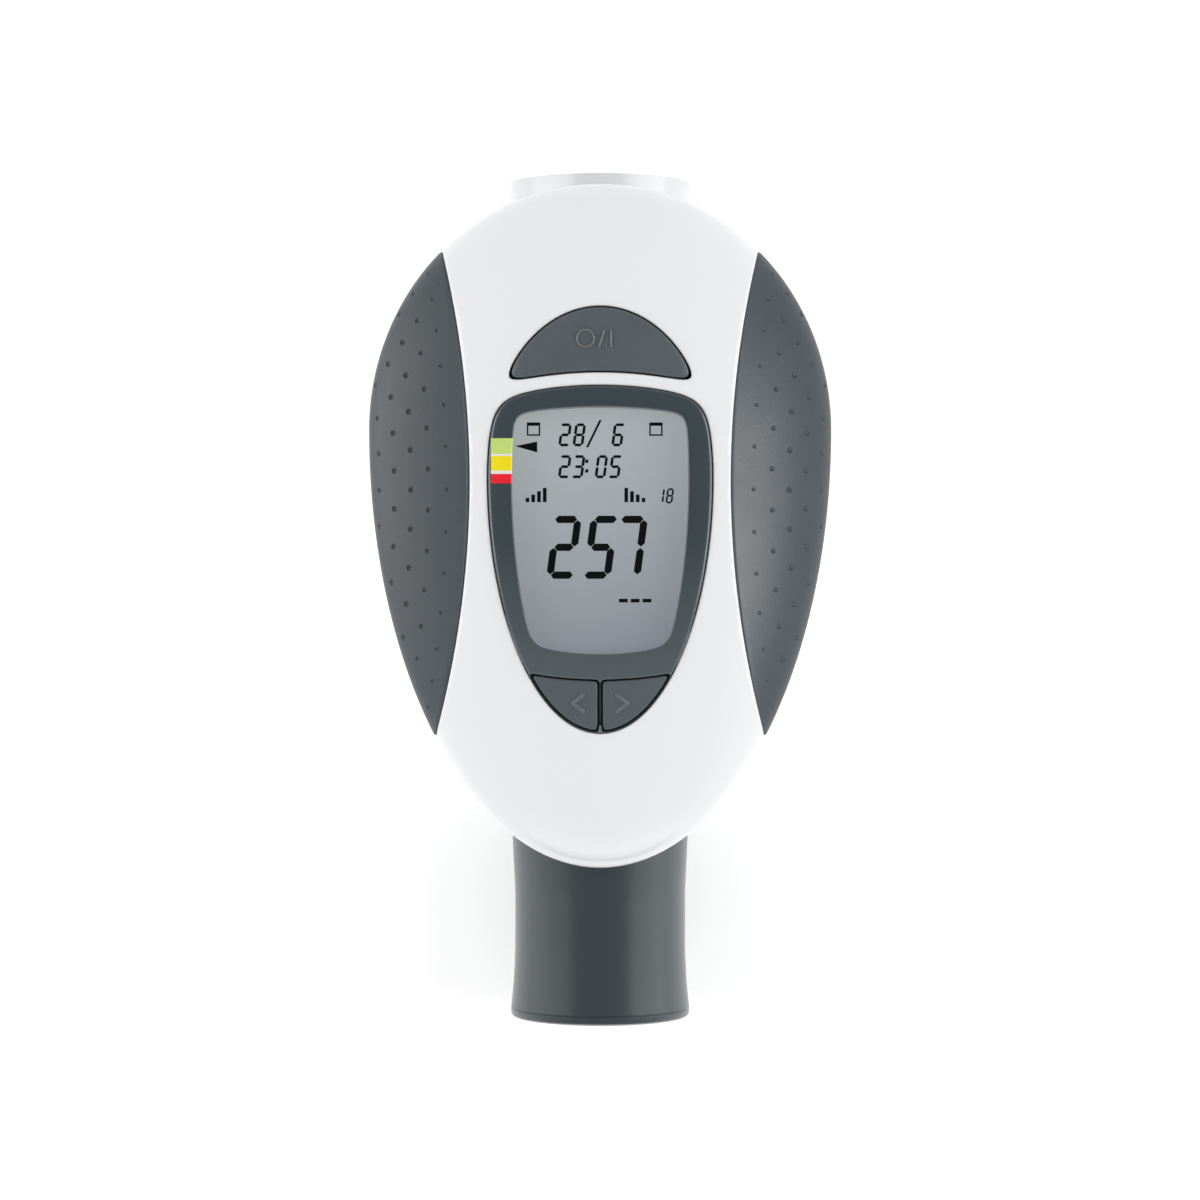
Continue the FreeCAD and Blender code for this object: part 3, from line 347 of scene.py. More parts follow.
looks = {
    "whiteCase": {"colour": (0.885, 0.893, 0.912), "drift": 0.012, "driftScale": 25, "roughness": 0.24,
                  "roughnessChange": 0.05, "grain": 0.12, "grainDepth": 0.00003, "grainScale": 1400,
                  "coat": 0.25, "coatRoughness": 0.08, "ior": 1.5},
    # the grip rubber has painted shade in the dimple bottoms
    "gripRubber": {"colour": (0.063, 0.074, 0.083), "drift": 0.06, "driftScale": 60, "roughness": 0.42,
                   "roughnessChange": 0.10, "grain": 0.5, "grainDepth": 0.00006, "grainScale": 3600,
                   "coat": 0.0, "coatRoughness": 0.3, "ior": 1.45, "pitShadeColour": (0.012, 0.013, 0.015)},
    # the bezel's colour towards the mouthpiece is a painted reflection, lighter at the foot
    "bezelGloss": {"colour": (0.040, 0.056, 0.066), "drift": 0.03, "driftScale": 40, "roughness": 0.22,
                   "roughnessChange": 0.05, "grain": 0.08, "grainDepth": 0.00002, "grainScale": 1800,
                   "coat": 0.4, "coatRoughness": 0.08, "ior": 1.5, "paintedReflectionColour": (0.088, 0.107, 0.115),
                   "fadeFrom": 0.010, "fadeTo": -0.012},
    "keyCap": {"colour": (0.086, 0.101, 0.110), "drift": 0.05, "driftScale": 90, "roughness": 0.50,
               "roughnessChange": 0.10, "grain": 0.45, "grainDepth": 0.00004, "grainScale": 4200,
               "coat": 0.0, "coatRoughness": 0.3, "ior": 1.46},
    "mouthGrey": {"colour": (0.067, 0.086, 0.095), "drift": 0.04, "driftScale": 50, "roughness": 0.34,
                  "roughnessChange": 0.07, "grain": 0.3, "grainDepth": 0.00004, "grainScale": 2600,
                  "coat": 0.35, "coatRoughness": 0.2, "ior": 1.5},
    "innerPlastic": {"colour": (0.72, 0.72, 0.69), "drift": 0.02, "driftScale": 60, "roughness": 0.45,
                     "roughnessChange": 0.08, "grain": 0.3, "grainDepth": 0.00004, "grainScale": 2000,
                     "coat": 0.0, "coatRoughness": 0.3, "ior": 1.46},
    "tubeSmoke": {"colour": (0.60, 0.63, 0.65), "drift": 0.02, "driftScale": 60, "roughness": 0.2,
                  "roughnessChange": 0.05, "grain": 0.1, "grainDepth": 0.00003, "grainScale": 1500,
                  "coat": 0.3, "coatRoughness": 0.1, "ior": 1.5},
    "darkPart": {"colour": (0.022, 0.023, 0.025), "drift": 0.08, "driftScale": 120, "roughness": 0.48,
                 "roughnessChange": 0.1, "grain": 0.4, "grainDepth": 0.00004, "grainScale": 3000,
                 "coat": 0.0, "coatRoughness": 0.3, "ior": 1.46},
    "elastomer": {"colour": (0.45, 0.40, 0.40), "drift": 0.1, "driftScale": 300, "roughness": 0.6,
                  "roughnessChange": 0.1, "grain": 0.4, "grainDepth": 0.00005, "grainScale": 2500,
                  "coat": 0.0, "coatRoughness": 0.3, "ior": 1.45},
    "boardGreen": {"colour": (0.015, 0.16, 0.06), "drift": 0.2, "driftScale": 500, "roughness": 0.3,
                   "roughnessChange": 0.1, "grain": 0.5, "grainDepth": 0.00005, "grainScale": 900,
                   "coat": 0.3, "coatRoughness": 0.15, "ior": 1.5},
    "cellJacket": {"colour": (0.07, 0.09, 0.13), "drift": 0.05, "driftScale": 80, "roughness": 0.25,
                   "roughnessChange": 0.06, "grain": 0.1, "grainDepth": 0.00003, "grainScale": 1500,
                   "coat": 0.3, "coatRoughness": 0.1, "ior": 1.5},
    "jewelRed": {"colour": (0.45, 0.03, 0.07), "drift": 0.05, "driftScale": 900, "roughness": 0.08,
                 "roughnessChange": 0.02, "grain": 0.05, "grainDepth": 0.00001, "grainScale": 4000,
                 "coat": 0.5, "coatRoughness": 0.04, "ior": 1.77},
    "plainSteel": {"colour": (0.62, 0.62, 0.62), "drift": 0.06, "driftScale": 400, "roughness": 0.28,
                   "roughnessChange": 0.12, "grain": 0.3, "grainDepth": 0.00003, "grainScale": 2600,
                   "coat": 0.0, "coatRoughness": 0.2, "ior": 1.5, "metal": 1.0},
    "zoneGreen": {"colour": (0.56, 0.73, 0.185), "drift": 0.03, "driftScale": 300, "roughness": 0.33,
                  "roughnessChange": 0.06, "grain": 0.1, "grainDepth": 0.00002, "grainScale": 2600,
                  "coat": 0.3, "coatRoughness": 0.1, "ior": 1.5},
    "legendGrey": {"colour": (0.15, 0.155, 0.16), "drift": 0.05, "driftScale": 90, "roughness": 0.4,
                   "roughnessChange": 0.1, "grain": 0.3, "grainDepth": 0.00003, "grainScale": 4200,
                   "coat": 0.0, "coatRoughness": 0.3, "ior": 1.46},
    "displayInk": {"colour": (0.003, 0.004, 0.005), "drift": 0.1, "driftScale": 500, "roughness": 0.6,
                   "roughnessChange": 0.08, "grain": 0.1, "grainDepth": 0.00001, "grainScale": 4000,
                   "coat": 0.0, "coatRoughness": 0.2, "ior": 1.05},
}
# looks that differ from another one in a few values only
# the front shell's white has painted shade along the crescent groove over the tip
looks["whiteFront"] = {**looks["whiteCase"], "paintedLineShade": (0.74, 0.75, 0.77), "lineWidth": 0.6}
# painted shade: the barrel gets a darker copy of the white case, as it sits low in shade
looks["shadedBarrelWhite"] = {**looks["whiteCase"], "colour": (0.70, 0.708, 0.722), "roughness": 0.26,
                        "coat": 0.2, "coatRoughness": 0.1}
looks["zoneYellow"] = {**looks["zoneGreen"], "colour": (0.92, 0.76, 0.002)}
looks["zoneRed"] = {**looks["zoneGreen"], "colour": (0.86, 0.008, 0.022)}
looks["zoneWhite"] = {**looks["zoneGreen"], "colour": (0.80, 0.80, 0.79), "drift": 0.02, "roughness": 0.35,
                      "coat": 0.2}
looks["markGrey"] = {**looks["legendGrey"], "colour": (0.128, 0.141, 0.150), "roughness": 0.5}
materials = {name: moulded(name, look) for name, look in looks.items()}


def displayMaterial():
    # the reflective panel with a faint cell grid; painted light and shade make it lighter at the upper left
    # and darker and bluer at the foot, and it glows so that its recess casts little shade on it
    look = {"foot": (0.245, 0.268, 0.303), "head": (0.415, 0.443, 0.458), "shadedY": -0.010, "litY": 0.034,
            "lean": -0.22, "cell": 0.00045, "cellDepth": 0.035, "paintedGlow": 0.73, "dim": 0.42}
    material, shader, flow = newMaterial("displayPanel", Roughness=0.38, Specular_IOR_Level=0.2,
                                         Emission_Strength=look["paintedGlow"])
    parts = flow.make("ShaderNodeSeparateXYZ", None, i0=flow)
    across, along = Flow(flow.tree, parts.outputs[0]), Flow(flow.tree, parts.outputs[1])
    rise = (along + across * look["lean"] - look["shadedY"]) * (1 / (look["litY"] - look["shadedY"]))
    shade = flow.mixed(clamped(flow, rise), look["foot"], look["head"])
    cells = []
    for axis in (across, along):
        wave = flow.math("SINE", axis * (2 * math.pi / look["cell"]), 0.0)
        cells.append(wave * 0.5 + 0.5)
    speckle = noise(flow, 5200, 2.0) * 0.5 + cells[0] * cells[1] * 0.5
    faint = flow.mixed(speckle * look["cellDepth"], shade, (0.2, 0.2, 0.22), "MULTIPLY")
    # painted light: the shaded panel colour is also emitted as a glow
    feed(flow, shader, "Emission Color", faint)
    feed(flow, shader, "Base Color", flow.mixed(look["dim"], (0, 0, 0), faint))
    return material


def lensMaterial():
    material, shader, flow = newMaterial("clearLens", Alpha=0.015, IOR=1.49)
    shader.inputs["Base Color"].default_value = (0.12, 0.14, 0.15, 1)
    feed(flow, shader, "Roughness", noise(flow, 30) * 0.03 + 0.03)
    return material


materials["displayPanel"] = displayMaterial()
materials["clearLens"] = lensMaterial()
print("materials made:", len(materials))


# Front shell
def makeFrontShell():
    look = {"domeRings": 64, "innerRings": 10, "edgeRound": 0.3, "footRound": 0.25, "lineWidth": 1.1,
            "lineDepth": 0.35, "displayMiddleY": 15.0, "powerMiddleY": 42.6, "gripMiddleX": 36.0,
            "openingFoot": 34.0, "gripFoot": 20.0, "gripReachX": 60, "gripReachY": 70}
    egg = lambda x, y: insideEgg(x, y, case["widestY"], case["halfWidth"], case["crownReach"],
                                 case["tipReach"])
    rings = []
    for step in range(1, look["domeRings"] + 1):
        share = math.sin(math.pi / 2 * step / look["domeRings"])
        rings.append((0.0, share, domeZ))
    foot = case["partingZ"]
    rings.append((0.0, 1.0, lambda x, y: foot + look["footRound"]))
    rings.append((look["footRound"], 1.0, lambda x, y: foot))
    rings.append((case["wall"], 1.0, lambda x, y: foot))
    for step in range(look["innerRings"]):
        share = math.cos(math.pi / 2 * step / look["innerRings"])
        rings.append((case["wall"], share, lambda x, y: domeZ(x, y, -case["wall"])))
    shell = globePiece("frontShell", egg, (0.0, case["widestY"]), rings, 288)
    for vertex in shell.data.vertices:   # a faint crescent line over the tip
        x, y, z = (part / mm for part in vertex.co)
        away = math.hypot(x, y - crescent["middleY"]) - crescent["radius"]
        if z > domeZ(x, y) - 0.01 and y < crescent["middleY"] and abs(away) < look["lineWidth"]:
            fade = max(0.0, 1 - (x / crescent["reach"]) ** 4)
            wave = (1 + math.cos(math.pi * away / look["lineWidth"])) / 2
            vertex.co.z -= look["lineDepth"] * fade * wave * mm
    for vertex in shell.data.vertices:   # the tip over the mouthpiece is solid
        inside = vertex.co.z < (domeZ(vertex.co.x / mm, vertex.co.y / mm) - 1) * mm
        innerFoot = egg(vertex.co.x / mm, vertex.co.y / mm) > case["wall"] - 0.1
        if inside and innerFoot and vertex.co.y < case["tipInsideY"] * mm:
            vertex.co.y = case["tipInsideY"] * mm
    tidy(shell)

    def opening(name, field, centre, grow, low, count=224):
        radius = look["edgeRound"]
        top = [(-grow - radius, 1.0, lambda x, y: case["domeBaseZ"] + case["domeRise"] + 4)]
        rounded = []
        for step in range(5):
            turn = math.pi / 2 * step / 4
            out = radius * (1 - math.sin(turn))
            drop = radius * (1 - math.cos(turn))
            lift = 0.02 if step == 0 else 0.0
            rounded.append((-grow - out, 1.0, lambda x, y, drop=drop, lift=lift: domeZ(x, y) - drop + lift))
        bottom = [(-grow, 1.0, lambda x, y: low)]
        return globePiece(name, field, centre, top + rounded + bottom, count)

    low = look["openingFoot"]
    tools = [opening("displayOpening", shieldField, (0.0, look["displayMiddleY"]), 0.0, low),
             opening("powerOpening", moonField, (0.0, look["powerMiddleY"]), key["gap"], low)]
    for side in (-1, 1):
        def zone(x, y, side=side):
            return min(gripField(side)(x, y), look["gripReachX"] - side * x,
                       look["gripReachY"] - abs(y - grip["middleY"]))
        middle = (side * look["gripMiddleX"], grip["middleY"])
        tools.append(opening("gripOpening", zone, middle, 0.0, look["gripFoot"], 288))
    cutBy(shell, tools)
    tidy(shell, 32)
    finish(shell, "case", "white_case", materials["whiteFront"], "front_shell")
    print("front shell:", len(shell.data.polygons), "faces")


# Side grips: a skin over the dome's flank and the band below it, with staggered dimples
def makeGrips():
    look = {"rows": 96, "flank": 22, "band": 5, "seam": 0.06, "edgeRound": 0.45, "skin": 1.2,
            "columns": (25.25, 28.3, 31.2, 34.0, 36.6), "dimples": (0.38, 0.48, 0.56, 0.54, 0.48),
            "columnRadius": 200.0, "reach": 43.8, "step": 0.161, "shrink": 0.035, "deep": 0.55, "clear": 1.0,
            "margin": 0.35, "middleY": 18.2, "pitDepth": 0.16, "pitStart": 0.15,
            "pitShade": {-1: 0.85, 1: 0.35}, "rowsFrom": 0.04, "rowsOver": 0.92, "flankPower": 1.35}

    def halfAt(y):
        return case["halfWidth"] * math.sqrt(max(0, 1 - ((y - case["widestY"]) / reachAt(y)) ** 2))

    def arcAt(y):
        bow = math.sqrt(grip["radius"] ** 2 - (y - grip["middleY"]) ** 2)
        return grip["edgeX"] + grip["radius"] + look["seam"] - bow

    # the skin's ends, where its inner arc meets the case's outline
    low, high = (lastInside(lambda y: halfAt(y) > arcAt(y), case["widestY"], end, 40)
                 for end in (case["widestY"] - case["tipReach"], case["widestY"] + case["crownReach"]))
    columns = look["flank"] + look["band"]
    for side, node in ((-1, "left_grip"), (1, "right_grip")):
        deselect()
        bpy.ops.mesh.primitive_grid_add(x_subdivisions=columns, y_subdivisions=look["rows"], size=2)
        skin = bpy.context.object
        skin.name = "gripSkin" + ("Left" if side < 0 else "Right")
        for vertex in skin.data.vertices:
            u = (vertex.co.x + 1) / 2 * columns
            v = (vertex.co.y + 1) / 2
            row = look["rowsFrom"] + look["rowsOver"] * v
            y = low + (high - low) * (0.5 - 0.5 * math.cos(math.pi * row))
            y = y if 0 < v < 1 else (low, high)[round(v)]
            half, arc = halfAt(y), arcAt(y)
            start = math.asin(min(1, arc / half))
            share = min(1, u / look["flank"])
            turn = start + (math.pi / 2 - start) * share ** look["flankPower"]
            x = half * math.sin(turn)
            z = domeZ(x, y) if u < look["flank"] else case["domeBaseZ"]
            if u > look["flank"]:
                z -= (case["domeBaseZ"] - case["partingZ"]) * (u - look["flank"]) / look["band"]
            depth = max(0.0, look["edgeRound"] - (x - arc))
            drop = look["edgeRound"] - math.sqrt(max(0, look["edgeRound"] ** 2 - depth ** 2))
            rise = max(0, z - case["domeBaseZ"])
            slope = Vector((x / case["halfWidth"] ** 2, 0, rise / case["domeRise"] ** 2))
            inward = slope.normalized() * -drop if slope.length > 0 else Vector()
            vertex.co = Vector((side * (x + inward.x), y, z + inward.z)) * mm
        tidy(skin)
        thick = skin.modifiers.new("thickness", "SOLIDIFY")
        thick.thickness = look["skin"] * mm
        thick.offset = -1
        activate(skin)
        if skin.data.polygons[0].normal.z < 0:
            bpy.ops.object.mode_set(mode="EDIT")
            bpy.ops.mesh.select_all(action="SELECT")
            bpy.ops.mesh.flip_normals()
            bpy.ops.object.mode_set(mode="OBJECT")
        bpy.ops.object.modifier_apply(modifier=thick.name)
        dimples = []
        for column, columnX in enumerate(look["columns"]):
            for number in range(-9, 10):
                place = number + 0.5 * (column % 2)
                turn = look["step"] * place
                if abs(turn) > math.pi / 2:
                    continue
                y = look["middleY"] + look["reach"] * (1 - look["shrink"] * column) * math.sin(turn)
                x = columnX + (y - look["middleY"]) ** 2 / (2 * look["columnRadius"])
                if not (arcAt(y) + look["clear"] < x < halfAt(y) - look["margin"]):
                    continue
                radius = look["dimples"][column]
                depth = radius * look["deep"]
                ball = (radius ** 2 + depth ** 2) / (2 * depth)
                z = domeZ(x, y)
                normal = Vector((x / case["halfWidth"] ** 2, (y - case["widestY"]) / case["tipReach"] ** 2,
                                 (z - case["domeBaseZ"]) / case["domeRise"] ** 2)).normalized()
                centre = Vector((x, y, z)) + normal * (ball - depth)
                centre.x *= side
                deselect()
                bpy.ops.mesh.primitive_ico_sphere_add(subdivisions=2, radius=ball * mm, location=centre * mm)
                dimples.append(bpy.context.object)
        count = len(dimples)
        cutBy(skin, [joined("dimples", dimples)])
        tidy(skin, 32)
        # painted shade: each dimple bottom gets a darkening value, weaker on the right grip
        paintedPitShade = skin.data.attributes.new("paintedPitShade", "FLOAT", "POINT")
        for vertex in skin.data.vertices:
            x, y, z = abs(vertex.co.x) / mm, vertex.co.y / mm, vertex.co.z / mm
            size = (x / case["halfWidth"]) ** 2 + ((y - case["widestY"]) / reachAt(y)) ** 2
            height = max(0.0, z - case["domeBaseZ"]) / case["domeRise"]
            under = (1 - math.sqrt(size + height ** 2)) * case["domeRise"]
            if x > arcAt(y) + look["edgeRound"] and under < look["skin"] * 0.8:
                shade = min(1.0, max(0.0, under / look["pitDepth"] - look["pitStart"]))
                paintedPitShade.data[vertex.index].value = shade * look["pitShade"][side]
        finish(skin, "case", "grip_rubber", materials["gripRubber"], node)
        print(skin.name, count, "dimples", len(skin.data.polygons), "faces")


# Display surround
bezel = {"fit": 0.15, "crest": 0.36, "crestShare": 0.36, "fall": 0.25, "edgeRound": 0.4, "innerRound": 0.18,
         "bottomZ": 43.3, "keyMiddle": (4.8, -16.2), "notchLow": (-0.45, -20.6, 40.0),
         "notchHigh": (0.45, -13.45, 60.0), "ribDrop": 1.5, "middle": (0.0, 13.0),
         "cutFrom": 60.0, "cutTo": 36.0}


def bezelTop(x, y):
    out = max(0.0, shieldField(x, y) - bezel["fit"])
    inner = max(0.0, -viewField(x, y))
    share = out / (out + inner + 1e-9)
    return domeZ(x, y) + bezel["crest"] - bezel["fall"] * (share - bezel["crestShare"]) ** 2


def makeBezel():
    count = 256
    outer = traced(shieldField, bezel["middle"], count, bezel["fit"])
    inner = traced(viewField, bezel["middle"], count, 0.0)
    turns = [math.pi / 2 * step / 4 for step in range(5)]
    curve = [(1 - math.cos(turn), 1 - math.sin(turn)) for turn in turns]
    outerRound, innerRound = bezel["edgeRound"], bezel["innerRound"]

    def section(step):
        start, end = Vector(outer[step]), Vector(inner[step])
        way = end - start
        width = way.length
        way.normalize()
        places = [(outerRound * near, outerRound * drop) for near, drop in curve]
        level = width - outerRound - innerRound
        places += [(outerRound + level * share / 10, 0.0) for share in range(1, 10)]
        places += [(width - innerRound * near, innerRound * drop) for near, drop in reversed(curve)]
        points = []
        for near, drop in places:
            x, y = start + way * near
            points.append((x, y, bezelTop(x, y) - drop))
        x, y = end
        points.append((x, y, bezel["bottomZ"]))
        x, y = start
        points.append((x, y, bezel["bottomZ"]))
        return points

    ring = ringPiece("displaySurround", count, section)
    tools = []
    for side in (-1, 1):
        field = keyField(side)
        rounded = rims(0.2, bezelTop)
        rings = [(-key["gap"] - inset, share, height) for inset, share, height in rounded]
        rings.insert(0, (rings[0][0], 1.0, lambda x, y: bezel["cutFrom"]))
        rings.append((-key["gap"], 1.0, lambda x, y: bezel["cutTo"]))
        middle = (side * bezel["keyMiddle"][0], bezel["keyMiddle"][1])
        tools.append(globePiece("keyOpening", field, middle, rings, 128))
    deselect()
    bpy.ops.mesh.primitive_cube_add(size=1)
    notch = bpy.context.object   # the rib between the keys lies low
    for vertex in notch.data.vertices:
        ends = zip(vertex.co, bezel["notchLow"], bezel["notchHigh"])
        x, y, z = (low if part < 0 else high for part, low, high in ends)
        if vertex.co.z < 0:
            z = bezelTop(0, y) - bezel["ribDrop"]
        vertex.co = Vector((x, y, z)) * mm
    tools.append(notch)
    cutBy(ring, tools)
    tidy(ring, 32)
    finish(ring, "case", "bezel_gloss", materials["bezelGloss"], "display_bezel")
    print("display surround:", len(ring.data.polygons), "faces")


def stroke(name, points, radius):
    # a raised line with round ends: the rings of a small globe drawn out along the points
    deselect()
    count = len(points)
    bpy.ops.mesh.primitive_uv_sphere_add(segments=10, ring_count=count + 3, radius=1)
    piece = bpy.context.object
    piece.name = name
    ends = {0: (-1.0, 0.0), 1: (-0.7, 0.7), count + 2: (0.7, 0.7), count + 3: (1.0, 0.0)}
    up = Vector((0, 0, 1))
    for vertex in piece.data.vertices:
        level = round(math.acos(max(-1, min(1, vertex.co.z))) / math.pi * (count + 3))
        place = max(0, min(count - 1, level - 2))
        before, after = Vector(points[max(0, place - 1)]), Vector(points[min(count - 1, place + 1)])
        way = (after - before).normalized()
        along, wide = ends.get(level, (0.0, 1.0))
        turn = math.atan2(vertex.co.y, vertex.co.x)
        out = way.cross(up).normalized() * math.cos(turn) + up * math.sin(turn)
        vertex.co = (Vector(points[place]) + (way * along + out * wide) * radius) * mm
    return tidy(piece, 40)


# Buttons
def makeButtons():
    look = {"powerProud": 0.35, "powerRound": 0.55, "powerMiddleY": 42.6, "keyProud": 0.12, "keyRound": 0.3,
            "legendRadius": 0.19, "legendSink": 0.06, "ringX": -2.4, "ringY": 42.85, "ringRadius": 1.4,
            "slashFrom": (-0.15, 41.5), "slashTo": (0.7, 44.25), "barFrom": (1.78, 41.55),
            "barTo": (1.78, 44.15), "chevronRadius": 0.38, "chevronSink": -0.13, "chevronX": 4.5,
            "chevronY": -16.95, "chevronBack": 1.7, "chevronHalf": 1.35, "powerFoot": 42.4, "keyFoot": 41.6}
    powerTop = lambda x, y: domeZ(x, y, look["powerProud"])
    fill = [(look["powerRound"], share / 14, powerTop) for share in range(1, 14)]
    rings = fill + rims(look["powerRound"], powerTop, 6)
    rings.append((0.0, 1.0, lambda x, y: look["powerFoot"]))
    cap = globePiece("powerCap", moonField, (0.0, look["powerMiddleY"]), rings, 224)
    on = lambda x, y: (x, y, powerTop(x, y) + look["legendSink"])

    def ring(step):
        turn = math.pi * step / 24
        reach = look["ringRadius"]
        x, y, z = on(look["ringX"] + reach * math.cos(turn), look["ringY"] + reach * math.sin(turn))
        points = []
        for part in range(10):
            out = look["legendRadius"] * math.cos(math.pi * part / 5)
            lift = look["legendRadius"] * math.sin(math.pi * part / 5)
            points.append((x + out * math.cos(turn), y + out * math.sin(turn), z + lift))
        return points

    def line(start, end):
        return [on(*(Vector(look[start]).lerp(Vector(look[end]), share / 4))) for share in range(5)]

    legend = [ringPiece("ringMark", 48, ring, 40),
              stroke("slashMark", line("slashFrom", "slashTo"), look["legendRadius"]),
              stroke("barMark", line("barFrom", "barTo"), look["legendRadius"])]
    finish(cap, "power_key", "button_grey", materials["keyCap"], "power_button")
    finish(joined("powerLegend", legend), "power_key", "button_grey", materials["legendGrey"])
    for side, node, body in ((-1, "back_button", "back_key"), (1, "forward_button", "forward_key")):
        keyTop = lambda x, y: domeZ(x, y, look["keyProud"])
        field = keyField(side)
        fill = [(look["keyRound"], share / 8, keyTop) for share in range(1, 8)]
        rings = fill + rims(look["keyRound"], keyTop, 5)
        rings.append((0.0, 1.0, lambda x, y: look["keyFoot"]))
        middle = (side * bezel["keyMiddle"][0], bezel["keyMiddle"][1])
        cap = globePiece(node + "Cap", field, middle, rings, 128)
        arms = []
        for way in (-1, 1):
            places = []
            for share in range(5):
                x = side * (look["chevronX"] - look["chevronBack"] * share / 4)
                y = look["chevronY"] + look["chevronHalf"] * way * share / 4
                places.append((x, y, keyTop(x, y) + look["chevronSink"]))
            arms.append(stroke("chevronArm", places, look["chevronRadius"]))
        mark = joined(node + "Legend", arms)
        finish(cap, body, "button_grey", materials["keyCap"], node)
        finish(mark, body, "button_grey", materials["markGrey"])
    print("buttons made")


# Colour zones beside the window
def makeZones():
    look = {"outerX": -17.9, "drop": 1.0, "across": 26, "along": 6, "flat": 16, "bend": 22}
    bands = [("green_zone", "zone_green", "zoneGreen", 23.95, 26.5, 0.05),
             ("yellow_zone", "zone_yellow", "zoneYellow", 21.2, 23.6, 0.05),
             ("red_zone", "zone_red", "zoneRed", 19.1, 20.65, 0.05),
             (None, "zone_green", "zoneWhite", 20.6, 24.0, 0.03)]
    for node, slot, material, low, high, film in bands:
        deselect()
        bpy.ops.mesh.primitive_grid_add(x_subdivisions=look["across"], y_subdivisions=look["along"], size=2)
        strip = bpy.context.object
        strip.name = material + "Strip"
        for vertex in strip.data.vertices:
            u = round((vertex.co.x + 1) / 2 * look["across"])
            y = low + (high - low) * (vertex.co.y + 1) / 2
            edge = lastInside(lambda x: viewField(x, y) < 0, -18.0, 0.0, 24)
            radius = bezel["innerRound"]
            if u <= look["flat"]:
                x = look["outerX"] + (edge - radius - look["outerX"]) * u / look["flat"]
                z = bezelTop(x, y) + film
            elif u <= look["bend"]:
                turn = math.pi / 2 * (u - look["flat"]) / (look["bend"] - look["flat"])
                x = edge - radius + (radius + film) * math.sin(turn)
                z = bezelTop(min(x, edge), y) - radius + (radius + film) * math.cos(turn)
            else:
                x = edge + film
                down = (u - look["bend"]) / (look["across"] - look["bend"])
                z = bezelTop(edge, y) - radius - look["drop"] * down
            vertex.co = Vector((x, y, z)) * mm
        thick = strip.modifiers.new("thickness", "SOLIDIFY")
        thick.thickness = film * mm
        thick.offset = -1
        activate(strip)
        bpy.ops.object.modifier_apply(modifier=thick.name)
        tidy(strip)
        finish(strip, "case", slot, materials[material], *([node] if node else []))
    print("colour zones made")


# Display contents: plain segment digits and generic marks under the lens
segmentsOf = {"0": "abcdef", "1": "bc", "2": "abged", "3": "abgcd", "5": "afgcd", "6": "afgedc", "7": "abc",
              "8": "abcdefg"}


def flat(name, corners, z, thickness=0.02):
    # a thin plate on the given corners: a filled circle whose rim is moved to them, then extruded
    deselect()
    bpy.ops.mesh.primitive_circle_add(vertices=len(corners), radius=1, fill_type="NGON")
    plate = bpy.context.object
    plate.name = name
    for vertex, (x, y) in zip(plate.data.vertices, corners):
        vertex.co = Vector((x, y, z)) * mm
    bpy.ops.object.mode_set(mode="EDIT")
    bpy.ops.mesh.select_all(action="SELECT")
    bpy.ops.mesh.extrude_region_move(TRANSFORM_OT_translate={"value": (0, 0, thickness * mm)})
    bpy.ops.mesh.select_all(action="SELECT")
    bpy.ops.mesh.normals_make_consistent(inside=False)
    bpy.ops.object.mode_set(mode="OBJECT")
    return plate


def digit(text, x, y, width, height, pen, lean, z):
    # seven six-cornered bars, leaned to the right
    look = {"gap": 0.1, "run": -0.3, "taper": 0.42}
    half, low, high, right = height / 2, pen / 2, height - pen / 2, width - pen / 2
    lines = {"a": ((low, high), (right, high)), "g": ((low, half), (right, half)),
             "d": ((low, low), (right, low)), "f": ((low, half), (low, high)),
             "b": ((right, half), (right, high)), "e": ((low, low), (low, half)),
             "c": ((right, low), (right, half))}
    bars = []
    for name in segmentsOf[text]:
        first, last = Vector(lines[name][0]), Vector(lines[name][1])
        way = (last - first).normalized()
        across = Vector((-way.y, way.x)) * pen / 2
        # the upper and lower bars run further where no upright bar meets them
        meets = {"a": "fb", "d": "ec"}.get(name, name + name)
        first += way * pen * look["gap" if meets[0] in segmentsOf[text] else "run"]
        last -= way * pen * look["gap" if meets[1] in segmentsOf[text] else "run"]
        taper = way * pen * look["taper"]
        corners = [first, first + taper - across, last - taper - across,
                   last, last - taper + across, first + taper + across]
        bars.append(flat("bar", [(x + px + lean * py, y + py) for px, py in corners], z))
    return bars


